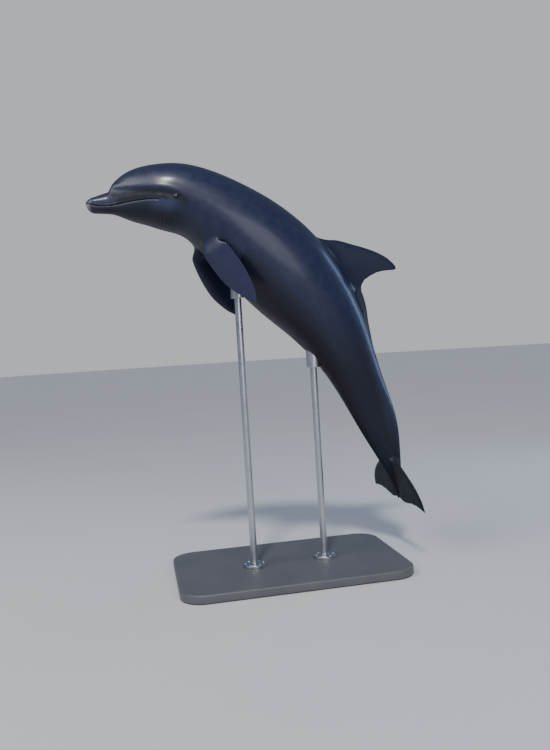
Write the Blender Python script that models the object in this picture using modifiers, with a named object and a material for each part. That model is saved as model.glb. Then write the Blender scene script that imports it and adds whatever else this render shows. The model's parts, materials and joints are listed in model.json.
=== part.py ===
"""A leaping bottlenose dolphin, life size, as a museum model on a display stand.

The skin is one closed loft: rings of columns round a body axis that is bent into the leap. The dorsal fin
and the flukes are bands of those columns pulled out to their edges. Thin cuts then part the skin into its
named pieces. The flippers are lofts of their own, coped to the chest.
The head points to -X and the left side to -Y. The origin is the middle of the underside of the base.
"""
import math

import bmesh
import bpy
import numpy as np
from mathutils import Matrix, Vector

LENGTH = 2.50           # beak tip to the notch between the flukes
CUT = 0.0003            # gap between neighbouring pieces

# The straight body, as shares of LENGTH: station, depth of the belly below the axis, half width,
# powers of the upper and lower half of the section (2 is an ellipse), level of the widest line.
SECTIONS = (
    (0.000, 0.0155, 0.0150, 2.20, 2.20, 0.0035),
    (0.012, 0.0158, 0.0165, 2.20, 2.20, 0.0025),
    (0.030, 0.0180, 0.0180, 2.20, 2.20, -0.0018),
    (0.050, 0.0220, 0.0205, 2.10, 2.20, -0.0028),
    (0.070, 0.0315, 0.0305, 2.10, 2.20, -0.0020),
    (0.090, 0.0408, 0.0410, 2.10, 2.20, 0.0000),
    (0.115, 0.0493, 0.0510, 2.10, 2.20, 0.0020),
    (0.140, 0.0572, 0.0585, 2.10, 2.20, 0.0030),
    (0.170, 0.0620, 0.0650, 2.10, 2.10, 0.0030),
    (0.200, 0.0640, 0.0700, 2.00, 2.10, 0.0010),
    (0.240, 0.0715, 0.0760, 2.00, 2.10, -0.0020),
    (0.290, 0.0830, 0.0830, 2.00, 2.10, -0.0040),
    (0.350, 0.0925, 0.0875, 2.00, 2.05, -0.0040),
    (0.410, 0.0993, 0.0880, 2.00, 2.00, -0.0040),
    (0.470, 0.0983, 0.0850, 2.00, 2.00, -0.0040),
    (0.530, 0.0890, 0.0760, 1.95, 2.00, -0.0030),
    (0.590, 0.0760, 0.0640, 1.90, 1.95, -0.0020),
    (0.650, 0.0640, 0.0510, 1.80, 1.85, 0.0000),
    (0.720, 0.0540, 0.0370, 1.70, 1.70, 0.0000),
    (0.790, 0.0465, 0.0260, 1.60, 1.60, 0.0000),
    (0.850, 0.0370, 0.0185, 1.60, 1.60, 0.0000),
    (0.900, 0.0260, 0.0145, 1.70, 1.70, 0.0000),
    (0.940, 0.0165, 0.0120, 1.90, 1.90, 0.0000),
    (1.000, 0.0012, 0.0030, 2.00, 2.00, 0.0000),
)
# Height of the crest above the axis: the beak, and the melon with the back behind it.
BEAK_TOP = (
    (0.000, 0.0128), (0.012, 0.0142), (0.025, 0.0170), (0.045, 0.0215), (0.070, 0.0250), (0.100, 0.0270),
)
BACK_TOP = (
    (0.047, 0.0225), (0.054, 0.0340), (0.063, 0.0428), (0.076, 0.0515), (0.092, 0.0590), (0.112, 0.0647),
    (0.140, 0.0692), (0.170, 0.0733), (0.200, 0.0758), (0.235, 0.0775), (0.275, 0.0812), (0.320, 0.0872),
    (0.370, 0.0918), (0.420, 0.0930), (0.470, 0.0895), (0.520, 0.0835), (0.570, 0.0755), (0.620, 0.0680),
    (0.670, 0.0600), (0.720, 0.0528), (0.770, 0.0490), (0.820, 0.0456), (0.860, 0.0385), (0.900, 0.0275),
    (0.940, 0.0165), (1.000, 0.0012),
)
MELON_RISE = 1.5        # slope of the melon's face where it drops into the crease
CREASE = 0.0010         # softness of the crease between beak and melon, a share of LENGTH
NOSE = 0.016            # length of the rounded beak tip, a share of LENGTH

# The leap: how far the axis points below the horizontal at each station, in degrees.
PITCH = (
    (0.00, -4.8), (0.05, -5.0), (0.10, -3.5), (0.14, 1.5), (0.20, 17.3), (0.26, 31.0), (0.34, 40.0),
    (0.42, 45.4), (0.50, 52.0), (0.58, 59.4), (0.66, 64.9), (0.74, 66.8), (0.82, 69.5), (0.90, 73.0),
    (0.96, 79.0), (1.00, 87.0),
)
BANK = math.radians(4)          # the whole animal rolls a little, its left side up
TAIL_LEAN = math.radians(6)     # the tail swings away to the right
TAIL_TURN = (0.45, 0.85)        # stations between which it does so
AXIS_STEPS = 4000

# The columns of a half ring, from crest to belly, lie in five bands: crest band, upper flank, upper and
# lower half of the side band, lower flank. The dorsal fin grows out of the crest band and the flukes out
# of the side band.
COLUMNS = (4, 3, 4, 4, 2)
CREST_BAND = 15                 # degrees either side of the crest
SIDE_LINE = (                   # angle of the line that flippers and flukes lie on
    (0.00, 90), (0.12, 90), (0.18, 112), (0.238, 140), (0.284, 127), (0.34, 117), (0.42, 108), (0.60, 93),
    (0.72, 90), (1.00, 90),
)
SIDE_BAND = (                   # half width of the band about it, in degrees
    (0.00, 10), (0.13, 10), (0.20, 15), (0.24, 20), (0.30, 20), (0.45, 20), (0.70, 30), (0.90, 46), (1.00, 50),
)

# Fins: the stations of the root, and the edges beyond it as (span, chord) in metres, root to tip.
DORSAL_ROOT = (0.440, 0.645)
DORSAL_PLANE = 0.525            # the station whose directions the fin's plane takes
DORSAL_LEAD = (
    (0.026, 0.026), (0.073, 0.064), (0.132, 0.125), (0.194, 0.204), (0.237, 0.274), (0.262, 0.334),
    (0.267, 0.372), (0.262, 0.392),
)
DORSAL_TRAIL = (
    (-0.039, 0.520), (0.000, 0.442), (0.024, 0.385), (0.046, 0.345), (0.070, 0.334), (0.111, 0.332),
    (0.164, 0.344), (0.212, 0.364), (0.240, 0.380), (0.262, 0.392),
)
FLIPPER_ROOT = (0.238, 0.284)
FLIPPER_LEAD = (
    (0.052, -0.034), (0.104, -0.055), (0.166, -0.068), (0.250, -0.072), (0.312, -0.064), (0.364, -0.048),
    (0.416, -0.026), (0.453, -0.002),
)
FLIPPER_TRAIL = (
    (0.140, 0.068), (0.208, 0.070), (0.281, 0.065), (0.343, 0.052), (0.400, 0.033), (0.437, 0.013),
    (0.453, -0.002),
)
# how each flipper is held, left 1 and right -1, in degrees: swept below the body's axis, spread out from
# the flank, and its rear edge tilted out about its own length
FLIPPER_HOLD = {1: (26, 12, 38), -1: (29, 16, 8)}
FLUKE_ROOT = (0.900, 1.000)
FLUKE_PLANE = 0.955
FLUKE_LEAD = (
    (0.070, 0.018), (0.120, 0.043), (0.175, 0.078), (0.225, 0.115), (0.262, 0.152), (0.290, 0.197),
    (0.305, 0.250),
)
FLUKE_TRAIL = ((0.035, 0.259), (0.100, 0.253), (0.170, 0.240), (0.235, 0.239), (0.280, 0.245), (0.305, 0.250))
# Thickness to chord, share of the root at the tip, span of the root, reach of the hollow joint to the
# body, and how far the rings bow forward to clear a hollow trailing edge.
DORSAL_SHAPE = (0.15, 0.42, 0.05, 0.045, 0.022)
FLIPPER_SHAPE = (0.17, 0.50, 0.09, 0.0, 0.0)
FLUKE_SHAPE = (0.11, 0.55, 0.03, 0.045, 0.0)
RIM = 0.0012            # half thickness of the thinnest edge
FLIPPER_ROWS = 13       # sections along a flipper, and points round each
FLIPPER_POINTS = 16
FLIPPER_START = -0.040  # where its inner end lies, inside the body
FLIPPER_BEND = (0.13, 0.060)    # span below which a flipper curves into the body, and how deep it goes

# Eyes.
EYE_STATION = 0.172
EYE_ANGLE = 100         # degrees from the crest
EYE_RADIUS = 0.018
EYE_SINK = 0.0145       # how far the middle of the eyeball lies under the skin

# The mouth: its end, and the angle from the crest at which its line runs.
GAPE = 0.141
MOUTH_LINE = (
    (0.000, 90.0), (0.004, 98.0), (0.010, 106.0), (0.018, 110.0), (0.028, 110.2), (0.048, 108.8), (0.061, 106.8),
    (0.074, 105.2), (0.100, 105.2), (0.123, 105.8), (0.141, 107.0), (0.160, 109.0),
)

# Where the thin cuts run: stations across the body, heights of the cuts above the body at the fins.
CREASE_CUT = 0.0475     # between beak and melon, above the mouth
CROSS_CUTS = (0.190, 0.232, 0.437, 0.652, 0.790)
PLATE_MARGIN = 0.060    # reach of a cross cut beyond the skin
DORSAL_CUT = 0.525
DORSAL_CLEAR = 0.014
FLUKE_CLEAR = 0.042     # from the body's middle plane

# Display stand.
BEAK_TIP = (-0.892, -0.004, 1.900)      # puts the centre of mass over the middle of the base
BASE_SIZE = (1.16, 0.76, 0.045)
BASE_CORNER = 0.12
BASE_EDGE = 0.008
ROD_STATIONS = (0.385, 0.625)
ROD_RADIUS = 0.0175
FLANGE_RADIUS = 0.060
FLANGE_HEIGHT = 0.014
COLLAR_RADIUS = 0.034
COLLAR_HEIGHT = 0.050   # of the collar below the belly
COLLAR_RISE = 0.120     # how far rod and collar rise past the belly's middle before they are coped

COLOURS = {
    "skin": ((0.052, 0.049, 0.075), 0.30, 0.0),
    "eye": ((0.010, 0.008, 0.007), 0.08, 0.0),
    "base": ((0.16, 0.16, 0.17), 0.45, 0.0),
    "steel": ((0.55, 0.56, 0.58), 0.30, 1.0),
}


# --- curves and the posed axis -----------------------------------------------------------------------


def natural_spline(x, rows):
    """The natural cubic spline through rows of (place, value), read at x."""
    xs, ys = np.array(rows, float).T
    n, h, d = len(xs), np.diff(xs), np.diff(ys) / np.diff(xs)
    matrix, right = np.eye(n), np.zeros(n)
    for i in range(1, n - 1):
        matrix[i, i - 1:i + 2] = h[i - 1], 2 * (h[i - 1] + h[i]), h[i]
        right[i] = 6 * (d[i] - d[i - 1])
    bend = np.linalg.solve(matrix, right)
    i = np.clip(np.searchsorted(xs, x) - 1, 0, n - 2)
    t = x - xs[i]
    slope = d[i] - h[i] * (2 * bend[i] + bend[i + 1]) / 6
    return ys[i] + t * (slope + t * (bend[i] / 2 + t * (bend[i + 1] - bend[i]) / (6 * h[i])))


def smooth_step(x):
    """An easing from 0 to 1."""
    x = np.clip(x, 0, 1)
    return x * x * (3 - 2 * x)


def mix(a, b, share):
    """Points between a and b, one share for each."""
    return a + (b - a) * np.asarray(share)[..., None]


def turn(a, b, angle):
    """Direction a turned by an angle towards direction b, square to it."""
    return np.cos(angle)[:, None] * a + np.sin(angle)[:, None] * b


def posed_axis():
    """Stations along the body, the axis bent into the leap, and its tailward, left and dorsal directions."""
    u = np.linspace(0, 1, AXIS_STEPS + 1)
    flat = np.zeros_like(u)
    pitch = np.radians(natural_spline(u, PITCH))
    lean = TAIL_LEAN * smooth_step((u - TAIL_TURN[0]) / (TAIL_TURN[1] - TAIL_TURN[0]))
    along = np.stack([np.cos(pitch), flat, -np.sin(pitch)], -1)
    dorsal = np.stack([np.sin(pitch), flat, np.cos(pitch)], -1)
    left = np.stack([flat, flat - 1, flat], -1)
    tailward = turn(along, -left, lean)
    left = turn(left, along, lean)
    bank = flat + BANK
    left, dorsal = turn(left, dorsal, bank), turn(dorsal, -left, bank)
    step = (tailward[1:] + tailward[:-1]) / 2 * LENGTH / AXIS_STEPS
    place = np.vstack([np.zeros(3), np.cumsum(step, axis=0)]) + BEAK_TIP
    return u, place, tailward, left, dorsal


AXIS = posed_axis()


def axis_at(u):
    """Place, tailward, left and dorsal direction of the axis at stations u."""
    return [np.stack([np.interp(u, AXIS[0], part[:, k]) for k in range(3)], -1) for part in AXIS[1:]]


# --- the body without its fins -----------------------------------------------------------------------


def section(u):
    """Crest, belly, half width, upper and lower power and widest level at stations u, in metres."""
    rows = np.array(SECTIONS)
    belly, width, upper, lower, level = (natural_spline(u, rows[:, (0, i)]) for i in range(1, 6))
    beak = natural_spline(u, BEAK_TOP)
    start, height = BACK_TOP[0]
    back = np.where(u < start, height - MELON_RISE * (start - u), natural_spline(u, BACK_TOP))
    rise = back - beak
    joined = beak + (rise + np.sqrt(rise ** 2 + 4 * CREASE ** 2)) / 2
    crest = np.where(u < BEAK_TOP[-1][0], joined, back)
    nose = np.sqrt(1 - np.clip(1 - u / NOSE, 0, 1) ** 2)
    crest = level + (crest - level) * nose
    belly = -level + (belly + level) * nose
    return LENGTH * crest, LENGTH * belly, LENGTH * width * nose, upper, lower, LENGTH * level


def body_points(u, angle, side):
    """Points of the finless body. angle runs from crest to belly; side is 1 for left, -1 for right."""
    crest, belly, width, upper, lower, level = (v[:, None] for v in section(u))
    place, _, left, dorsal = (v[:, None] for v in axis_at(u))
    top = angle <= math.pi / 2
    height = np.where(top, crest - level, -belly - level)
    power = np.where(top, upper, lower)
    across, over = np.abs(np.sin(angle)), np.abs(np.cos(angle))
    swell = (across ** power + over ** power) ** (-1 / power)
    out = side * width * across * swell
    rise = level + height * over * swell
    return place + out[..., None] * left + rise[..., None] * dorsal


def column_angles(u, columns):
    """The angle of every column of a half ring at stations u."""
    line, band = natural_spline(u, SIDE_LINE), natural_spline(u, SIDE_BAND)
    zero = np.zeros_like(u)
    knots = np.stack([zero, zero + CREST_BAND, line - band, line, line + band, zero + 180], -1)
    places = np.concatenate([[0], *(k + np.arange(1, n + 1) / n for k, n in enumerate(columns))])
    low = np.minimum(places.astype(int), len(columns) - 1)
    return np.radians(knots[:, low] + (knots[:, low + 1] - knots[:, low]) * (places - low))


def side_point(u, side):
    """The point of the side line at station u."""
    u = np.array([u])
    return body_points(u, np.radians(natural_spline(u, SIDE_LINE))[:, None], side)[0, 0]


# --- fins --------------------------------------------------------------------------------------------


def edge_curve(points, share):
    """A smooth curve through an edge's points, read at shares of its length."""
    points = np.array(points, float)
    run = np.concatenate([[0], np.cumsum(np.hypot(*np.diff(points, axis=0).T))])
    run /= run[-1]
    return [natural_spline(share, np.stack([run, points[:, k]], -1)) for k in range(2)]


def foil(chord_share):
    """Half thickness of a hydrofoil of unit thickness and chord, round in front and fine behind."""
    c = np.clip(chord_share, 0, 1)
    return 5 * (0.2969 * np.sqrt(c) - 0.1260 * c - 0.3516 * c ** 2 + 0.2843 * c ** 3 - 0.1036 * c ** 4)


class Fin:
    """A fin in its own plane, with a leading and a trailing edge that meet at the tip."""

    def __init__(self, origin, span, chord, root, edges, shape):
        self.origin, self.span, self.chord = origin, span, chord
        self.normal = np.cross(span, chord)
        front, rear = ((self.flat(point)[0], self.flat(point)[1]) for point in root)
        self.lead, self.trail = (front,) + edges[0], (rear,) + edges[1]
        self.thickness, self.tip, self.root, self.fillet, self.bow = shape
        fine = np.linspace(0, 1, 200)
        self.front = edge_curve(self.lead, fine)
        self.rear = edge_curve(self.trail, fine)

    def flat(self, point):
        """Span and chord of points."""
        return (point - self.origin) @ self.span, (point - self.origin) @ self.chord

    def edge(self, share):
        """Edge points, from the front of the root over the tip to its rear."""
        lead = edge_curve(self.lead, np.clip(share / self.tip, 0, 1))
        trail = edge_curve(self.trail, np.clip((1 - share) / (1 - self.tip), 0, 1))
        span, chord = (np.where(share <= self.tip, a, b) for a, b in zip(lead, trail))
        return self.origin + span[:, None] * self.span + chord[:, None] * self.chord

    def half_thickness(self, points):
        """Half thickness of the fin at points of its plane."""
        span, chord = self.flat(points)
        span = np.maximum(span, self.root)
        front, rear = np.interp(span, *self.front), np.interp(span, *self.rear)
        width = np.maximum(rear - front, 0)
        share = np.clip((chord - front) / np.maximum(width, 1e-6), 0, 1)
        return self.thickness * width * foil(share)


def grow_fin(points, body, u, band, outside, fin, root, face):
    """Pull a band of columns out into one face of a fin.

    band lists the columns from the border of the band to the fin's edge, outside is the column beyond
    the border, and face is 1 or -1, the side of the fin's plane.
    """
    zone = np.flatnonzero((u > root[0]) & (u < root[1]))
    share = (u[zone] - root[0]) / (root[1] - root[0])
    base, edge = body[zone, band[-1]], fin.edge(share)
    reach = np.linalg.norm(edge - base, axis=1)
    start = body[zone, band[0]]
    trailing = np.sin(math.pi * np.clip((share - fin.tip) / (1 - fin.tip), 0, 1))
    bow = (4 * fin.bow * trailing)[:, None] * fin.chord
    inward = start - body[zone, outside]
    inward /= np.linalg.norm(inward, axis=1)[:, None]
    stop = np.clip(fin.fillet / np.maximum(reach, 1e-6), 0.02, 0.5)

    def surface(d):
        flat = mix(base, edge, d) - bow * np.asarray(d * (1 - d))[..., None]
        half = fin.half_thickness(flat) + RIM * np.sqrt(1 - d ** 8)
        return flat + face * half[:, None] * fin.normal

    foot = surface(stop)
    slope = surface(np.minimum(stop + 0.02, 1)) - foot
    slope /= np.maximum(np.linalg.norm(slope, axis=1), 1e-9)[:, None]
    pull = 0.45 * np.linalg.norm(foot - start, axis=1)[:, None]
    near, far = start + inward * pull, foot - slope * pull
    keep = smooth_step(share / 0.16) * smooth_step((1 - share) / 0.12)
    count = len(band) - 1
    bend = max(2, round(count * 0.4))
    for k in range(1, count + 1):
        s = k / bend
        grown = (1 - s) ** 3 * start + 3 * s * (1 - s) ** 2 * near + 3 * s * s * (1 - s) * far + s ** 3 * foot
        if k > bend:
            grown = surface(stop + (1 - stop) * math.sin(math.pi / 2 * (k - bend) / (count - bend)))
        points[zone, band[k]] = mix(body[zone, band[k]], grown, keep)


def dorsal_fin():
    """The fin on the back. Its trailing edge runs out in a low ridge."""
    root = body_points(np.array(DORSAL_ROOT), np.zeros((2, 1)), 1)[:, 0]
    _, along, _, dorsal = axis_at(DORSAL_PLANE)
    return Fin(root[0], dorsal, along, root, (DORSAL_LEAD, DORSAL_TRAIL), DORSAL_SHAPE)


def flipper(side):
    """A flipper, swept back along the chest."""
    root = [side_point(u, side) for u in FLIPPER_ROOT]
    _, along, left, dorsal = axis_at(sum(FLIPPER_ROOT) / 2)
    sweep, spread, tilt = (math.radians(angle) for angle in FLIPPER_HOLD[side])
    back = along * math.cos(sweep) - dorsal * math.sin(sweep)
    rise = along * math.sin(sweep) + dorsal * math.cos(sweep)
    span = back * math.cos(spread) + side * left * math.sin(spread)
    out = side * left * math.cos(spread) - back * math.sin(spread)
    chord = rise * math.cos(tilt) + out * math.sin(tilt)
    return Fin(root[0], span, chord, root, (FLIPPER_LEAD, FLIPPER_TRAIL), FLIPPER_SHAPE)


def fluke(side):
    """One blade of the tail, from the stock to the notch."""
    notch = axis_at(FLUKE_ROOT[1])[0]
    _, along, left, _ = axis_at(FLUKE_PLANE)
    root = (side_point(FLUKE_ROOT[0], side), notch)
    return Fin(axis_at(FLUKE_ROOT[0])[0], side * left, along, root, (FLUKE_LEAD, FLUKE_TRAIL), FLUKE_SHAPE)


def half_skin(u, columns, side):
    """Rings by columns of one half of the skin, from crest to belly, with the dorsal fin and a fluke."""
    body = body_points(u, column_angles(u, columns), side)
    points = body.copy()
    crest, upper, line, lower = np.cumsum(columns)[:4]
    fin = dorsal_fin()
    face = side * np.sign(fin.normal @ axis_at(DORSAL_PLANE)[2])
    grow_fin(points, body, u, range(crest, -1, -1), crest + 1, fin, DORSAL_ROOT, face)
    fin = fluke(side)
    face = np.sign(fin.normal @ axis_at(FLUKE_PLANE)[3])
    grow_fin(points, body, u, range(upper, line + 1), upper - 1, fin, FLUKE_ROOT, face)
    grow_fin(points, body, u, range(lower, line - 1, -1), lower + 1, fin, FLUKE_ROOT, -face)
    return points


def flipper_sections(side, rows, count):
    """Closed sections of a flipper, from inside the body to just short of its tip, and the tip."""
    fin = flipper(side)
    outward = np.sign(fin.normal @ axis_at(FLIPPER_ROOT[0])[2]) * side * fin.normal
    tip = fin.front[0][-1]
    span = FLIPPER_START + (tip - FLIPPER_START) * np.sin(math.pi / 2 * np.arange(rows) / rows)
    front, rear = np.interp(span, *fin.front)[:, None], np.interp(span, *fin.rear)[:, None]
    turned = 2 * math.pi * np.arange(count) / count
    share = (1 - np.cos(turned)) / 2
    half = fin.thickness * (rear - front) * foil(share) + RIM * np.abs(np.sin(turned)) ** 0.25
    reach, depth = FLIPPER_BEND
    sunk = depth * np.clip(1 - span / reach, 0, None)[:, None] ** 2
    off = np.sign(np.sin(turned)) * half - sunk
    points = fin.origin + span[:, None, None] * fin.span + (front + (rear - front) * share)[..., None] * fin.chord
    return points + off[..., None] * outward, fin.origin + tip * fin.span + fin.lead[-1][1] * fin.chord


# --- meshes and objects ------------------------------------------------------------------------------


def clear():
    """Remove every object of the open file."""
    for obj in list(bpy.data.objects):
        bpy.data.objects.remove(obj, do_unlink=True)


def collection(name):
    """A new collection in the scene."""
    group = bpy.data.collections.new(name)
    bpy.context.scene.collection.children.link(group)
    return group


def material(name):
    """The finish of one kind of surface."""
    colour, roughness, metallic = COLOURS[name]
    finish = bpy.data.materials.new(name)
    finish.use_nodes = True
    shader = finish.node_tree.nodes["Principled BSDF"]
    shader.inputs["Base Color"].default_value = (*colour, 1)
    shader.inputs["Roughness"].default_value = roughness
    shader.inputs["Metallic"].default_value = metallic
    return finish


def add_object(name, mesh, group, finish=None):
    """An object for a mesh, smooth on its round stretches."""
    obj = bpy.data.objects.new(name, mesh)
    group.objects.link(obj)
    if finish:
        mesh.materials.clear()
        mesh.materials.append(finish)
        mesh.shade_smooth()
        mesh.set_sharp_from_angle(angle=math.radians(35))
    return obj


def mesh_of(bm, name):
    """A mesh from a bmesh, with its faces pointing out."""
    bmesh.ops.recalc_face_normals(bm, faces=bm.faces)
    if bm.calc_volume(signed=True) < 0:
        bmesh.ops.reverse_faces(bm, faces=bm.faces)
    mesh = bpy.data.meshes.new(name)
    bm.to_mesh(mesh)
    bm.free()
    return mesh


def helper(obj):
    """Mark a cutter."""
    obj.hide_render = True
    obj.display_type = "WIRE"
    return obj


def cut(obj, cutter):
    """Take a cutter away from an object."""
    step = obj.modifiers.new("cut " + cutter.name, "BOOLEAN")
    step.operation = "DIFFERENCE"
    step.solver = "EXACT"
    step.object = cutter


def settled(obj):
    """The mesh of an object after its modifiers, which are then dropped."""
    bpy.context.view_layer.update()
    graph = bpy.context.evaluated_depsgraph_get()
    mesh = bpy.data.meshes.new_from_object(obj.evaluated_get(graph))
    obj.modifiers.clear()
    return mesh


def stations():
    """Stations of the rings: close on the head and along the roots of the fins."""
    nose = NOSE * (1 - np.cos(math.pi / 2 * np.arange(1, 4) / 3))
    plain = (
        (NOSE, 0.080, 6), (0.080, 0.200, 8), (0.200, DORSAL_ROOT[0], 8), (DORSAL_ROOT[1], FLUKE_ROOT[0], 6),
    )
    runs = [nose] + [np.linspace(a, b, n + 1) for a, b, n in plain]
    for root, shape, ahead, behind in ((DORSAL_ROOT, DORSAL_SHAPE, 6, 8), (FLUKE_ROOT, FLUKE_SHAPE, 6, 6)):
        tip = root[0] + shape[1] * (root[1] - root[0])
        runs += [np.linspace(root[0], tip, ahead + 1), np.linspace(tip, root[1], behind + 1)]
    return np.unique(np.concatenate(runs).round(7))


def skin_mesh(name, swell=0.0):
    """The whole skin as one closed mesh, moved out by swell."""
    u = stations()
    left, right = (half_skin(u, COLUMNS, side) for side in (1, -1))
    rings = np.concatenate([left, right[:, -2:0:-1]], axis=1)
    bm = bmesh.new()
    rows = [[bm.verts.new(point) for point in ring] for ring in rings]
    for ahead, behind in zip(rows, rows[1:]):
        for k in range(len(ahead)):
            bm.faces.new((ahead[k - 1], ahead[k], behind[k], behind[k - 1]))
    ends = body_points(np.array([0.0]), np.zeros((1, 1)), 1)[0, 0], axis_at(1.0)[0]
    for ring, point in zip((rows[0], rows[-1]), ends):
        pole = bm.verts.new(point)
        for k in range(len(ring)):
            bm.faces.new((ring[k - 1], ring[k], pole))
    if bm.calc_volume(signed=True) < 0:
        bmesh.ops.reverse_faces(bm, faces=bm.faces)
    bmesh.ops.triangulate(bm, faces=bm.faces)
    bm.normal_update()
    for vert in bm.verts:
        vert.co += vert.normal * swell
    return mesh_of(bm, name)


# --- cutters -----------------------------------------------------------------------------------------


def box_cutter(name, centre, axes, size, group):
    """A box with its own three directions."""
    bm = bmesh.new()
    bmesh.ops.create_cube(bm, size=1)
    frame = Matrix(np.array(axes).T.tolist()).to_4x4()
    bm.transform(Matrix.Translation(centre) @ frame @ Matrix.Diagonal((*size, 1)))
    return helper(add_object(name, mesh_of(bm, name), group))


def cross_cut(name, u, group, low=None, high=None):
    """A thin plate across the body at station u, from one level to another."""
    crest, belly, width, *_ = (float(v[0]) for v in section(np.array([u])))
    place, along, left, dorsal = axis_at(u)
    low = -belly - PLATE_MARGIN if low is None else low
    high = crest + PLATE_MARGIN if high is None else high
    centre = place + dorsal * (low + high) / 2
    size = (CUT, 2 * (width + PLATE_MARGIN), high - low)
    return box_cutter(name, centre, (along, left, dorsal), size, group)


def mouth_level(u):
    """Height of the mouth line above the axis at stations u."""
    _, belly, _, _, power, level = section(u)
    angle = np.radians(natural_spline(u, MOUTH_LINE))
    across, over = np.abs(np.sin(angle)), np.abs(np.cos(angle))
    return level - (belly + level) * over * (across ** power + over ** power) ** (-1 / power)


def mouth_cut(group):
    """A thin sheet along the mouth line, from in front of the beak to the gape."""
    u = np.linspace(-0.02, GAPE, 18)
    place, along, left, dorsal = axis_at(u)
    place = place + along * (np.minimum(u, 0) * LENGTH)[:, None]
    level = mouth_level(np.clip(u, 0, 1))[:, None]
    bm = bmesh.new()
    corners = ((-1, -1), (1, -1), (1, 1), (-1, 1))
    rows = []
    for k in range(len(u)):
        rise = [level[k] + CUT / 2 * up for _, up in corners]
        points = [place[k] + left[k] * 0.2 * out + dorsal[k] * h for (out, _), h in zip(corners, rise)]
        rows.append([bm.verts.new(point) for point in points])
    for ahead, behind in zip(rows, rows[1:]):
        for k in range(4):
            bm.faces.new((ahead[k - 1], ahead[k], behind[k], behind[k - 1]))
    bm.faces.new(rows[0])
    bm.faces.new(rows[-1])
    bmesh.ops.recalc_face_normals(bm, faces=bm.faces)
    return helper(add_object("cutter_mouth", mesh_of(bm, "cutter_mouth"), group))


def outward(u, side, angle):
    """A point of the skin and the direction out of it."""
    def point(v, turned):
        return body_points(np.array([v]), np.radians([[turned]]), side)[0, 0]

    across = point(u, angle + 1) - point(u, max(angle - 1, 0))
    along = point(u + 0.002, angle) - point(u - 0.002, angle)
    normal = np.cross(along, across)
    normal /= np.linalg.norm(normal)
    centre = axis_at(u)[0]
    return point(u, angle), normal * np.sign(normal @ (point(u, angle) - centre))


def fin_cutters(group):
    """Thin plates just clear of the body, across the roots of the dorsal fin and the flukes."""
    plates = []
    along, left = axis_at(DORSAL_CUT)[1:3]
    point, normal = outward(DORSAL_CUT, 1, 0)
    along = np.cross(left, normal)
    plates.append(box_cutter(
        "cutter_dorsal_fin", point + normal * DORSAL_CLEAR, (along, left, normal), (0.56, 0.18, CUT), group))
    for name, side in (("left", 1), ("right", -1)):
        place, along, left, dorsal = axis_at(FLUKE_PLANE)
        centre = place + side * left * FLUKE_CLEAR
        plates.append(box_cutter(
            "cutter_fluke_" + name, centre, (along, left, dorsal), (0.34, CUT, 0.16), group))
    return plates


# --- the pieces --------------------------------------------------------------------------------------

# A point of the skin on each body piece: station and angle from the crest.
BODY_PIECES = {
    "beak_upper": (0.030, 20), "lower_jaw": (0.030, 160), "head": (0.100, 20), "neck": (0.210, 20),
    "trunk_front": (0.330, 20), "trunk_middle": (0.500, 150), "tail_stock_front": (0.720, 90),
    "tail_stock_rear": (0.850, 90),
}


def eye_centre(side):
    """The middle of an eyeball."""
    point, normal = outward(EYE_STATION, side, EYE_ANGLE)
    return point - normal * EYE_SINK


def ball(name, centre, radius, group, finish=None):
    """A sphere."""
    bm = bmesh.new()
    bmesh.ops.create_uvsphere(bm, u_segments=16, v_segments=8, radius=radius)
    bm.transform(Matrix.Translation(centre))
    return add_object(name, mesh_of(bm, name), group, finish)


def landmarks():
    """A point on every piece of the parted skin."""
    points = {
        name: body_points(np.array([u]), np.radians([[angle]]), 1)[0, 0]
        for name, (u, angle) in BODY_PIECES.items()
    }
    points["dorsal_fin"] = dorsal_fin().edge(np.array([0.35]))[0]
    for name, side in (("left", 1), ("right", -1)):
        points["fluke_" + name] = fluke(side).edge(np.array([0.5]))[0]
    return points


def islands(bm):
    """The separate pieces of a mesh, each a set of vertex numbers."""
    left, found = set(range(len(bm.verts))), []
    while left:
        piece, edge = set(), [left.pop()]
        while edge:
            number = edge.pop()
            piece.add(number)
            for link in bm.verts[number].link_edges:
                other = link.other_vert(bm.verts[number]).index
                if other in left:
                    left.discard(other)
                    edge.append(other)
        found.append(piece)
    return found


def parted_skin(group, cutters, finish):
    """The skin, parted by the thin cuts into its named pieces."""
    whole = add_object("skin", skin_mesh("skin"), cutters)
    plates = [mouth_cut(cutters)]
    for name, u, low, high in (("crease", CREASE_CUT, 0, None), ("jaw", GAPE, None, 0)):
        level = float(mouth_level(np.array([u]))[0])
        low, high = (level if limit == 0 else limit for limit in (low, high))
        plates.append(cross_cut("cutter_" + name, u, cutters, low, high))
    plates += [cross_cut(f"cutter_cross_{k + 1}", u, cutters) for k, u in enumerate(CROSS_CUTS)]
    plates += fin_cutters(cutters)
    for name, side in (("left", 1), ("right", -1)):
        plates.append(helper(ball("cutter_eye_" + name, eye_centre(side), EYE_RADIUS + CUT, cutters)))
    for plate in plates:
        cut(whole, plate)
    mesh = settled(whole)
    helper(whole)
    bm = bmesh.new()
    bm.from_mesh(mesh)
    bm.verts.ensure_lookup_table()
    bm.verts.index_update()
    places = np.array([vert.co for vert in bm.verts])
    pieces = islands(bm)
    print("pieces of the skin:", len(pieces))
    for name, point in landmarks().items():
        nearest = int(np.argmin(np.linalg.norm(places - point, axis=1)))
        keep = next(piece for piece in pieces if nearest in piece)
        part = bm.copy()
        bmesh.ops.delete(part, geom=[v for v in part.verts if v.index not in keep], context="VERTS")
        add_object(name, mesh_of(part, name), group, finish)
    bm.free()


# --- the stand ---------------------------------------------------------------------------------------


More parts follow.
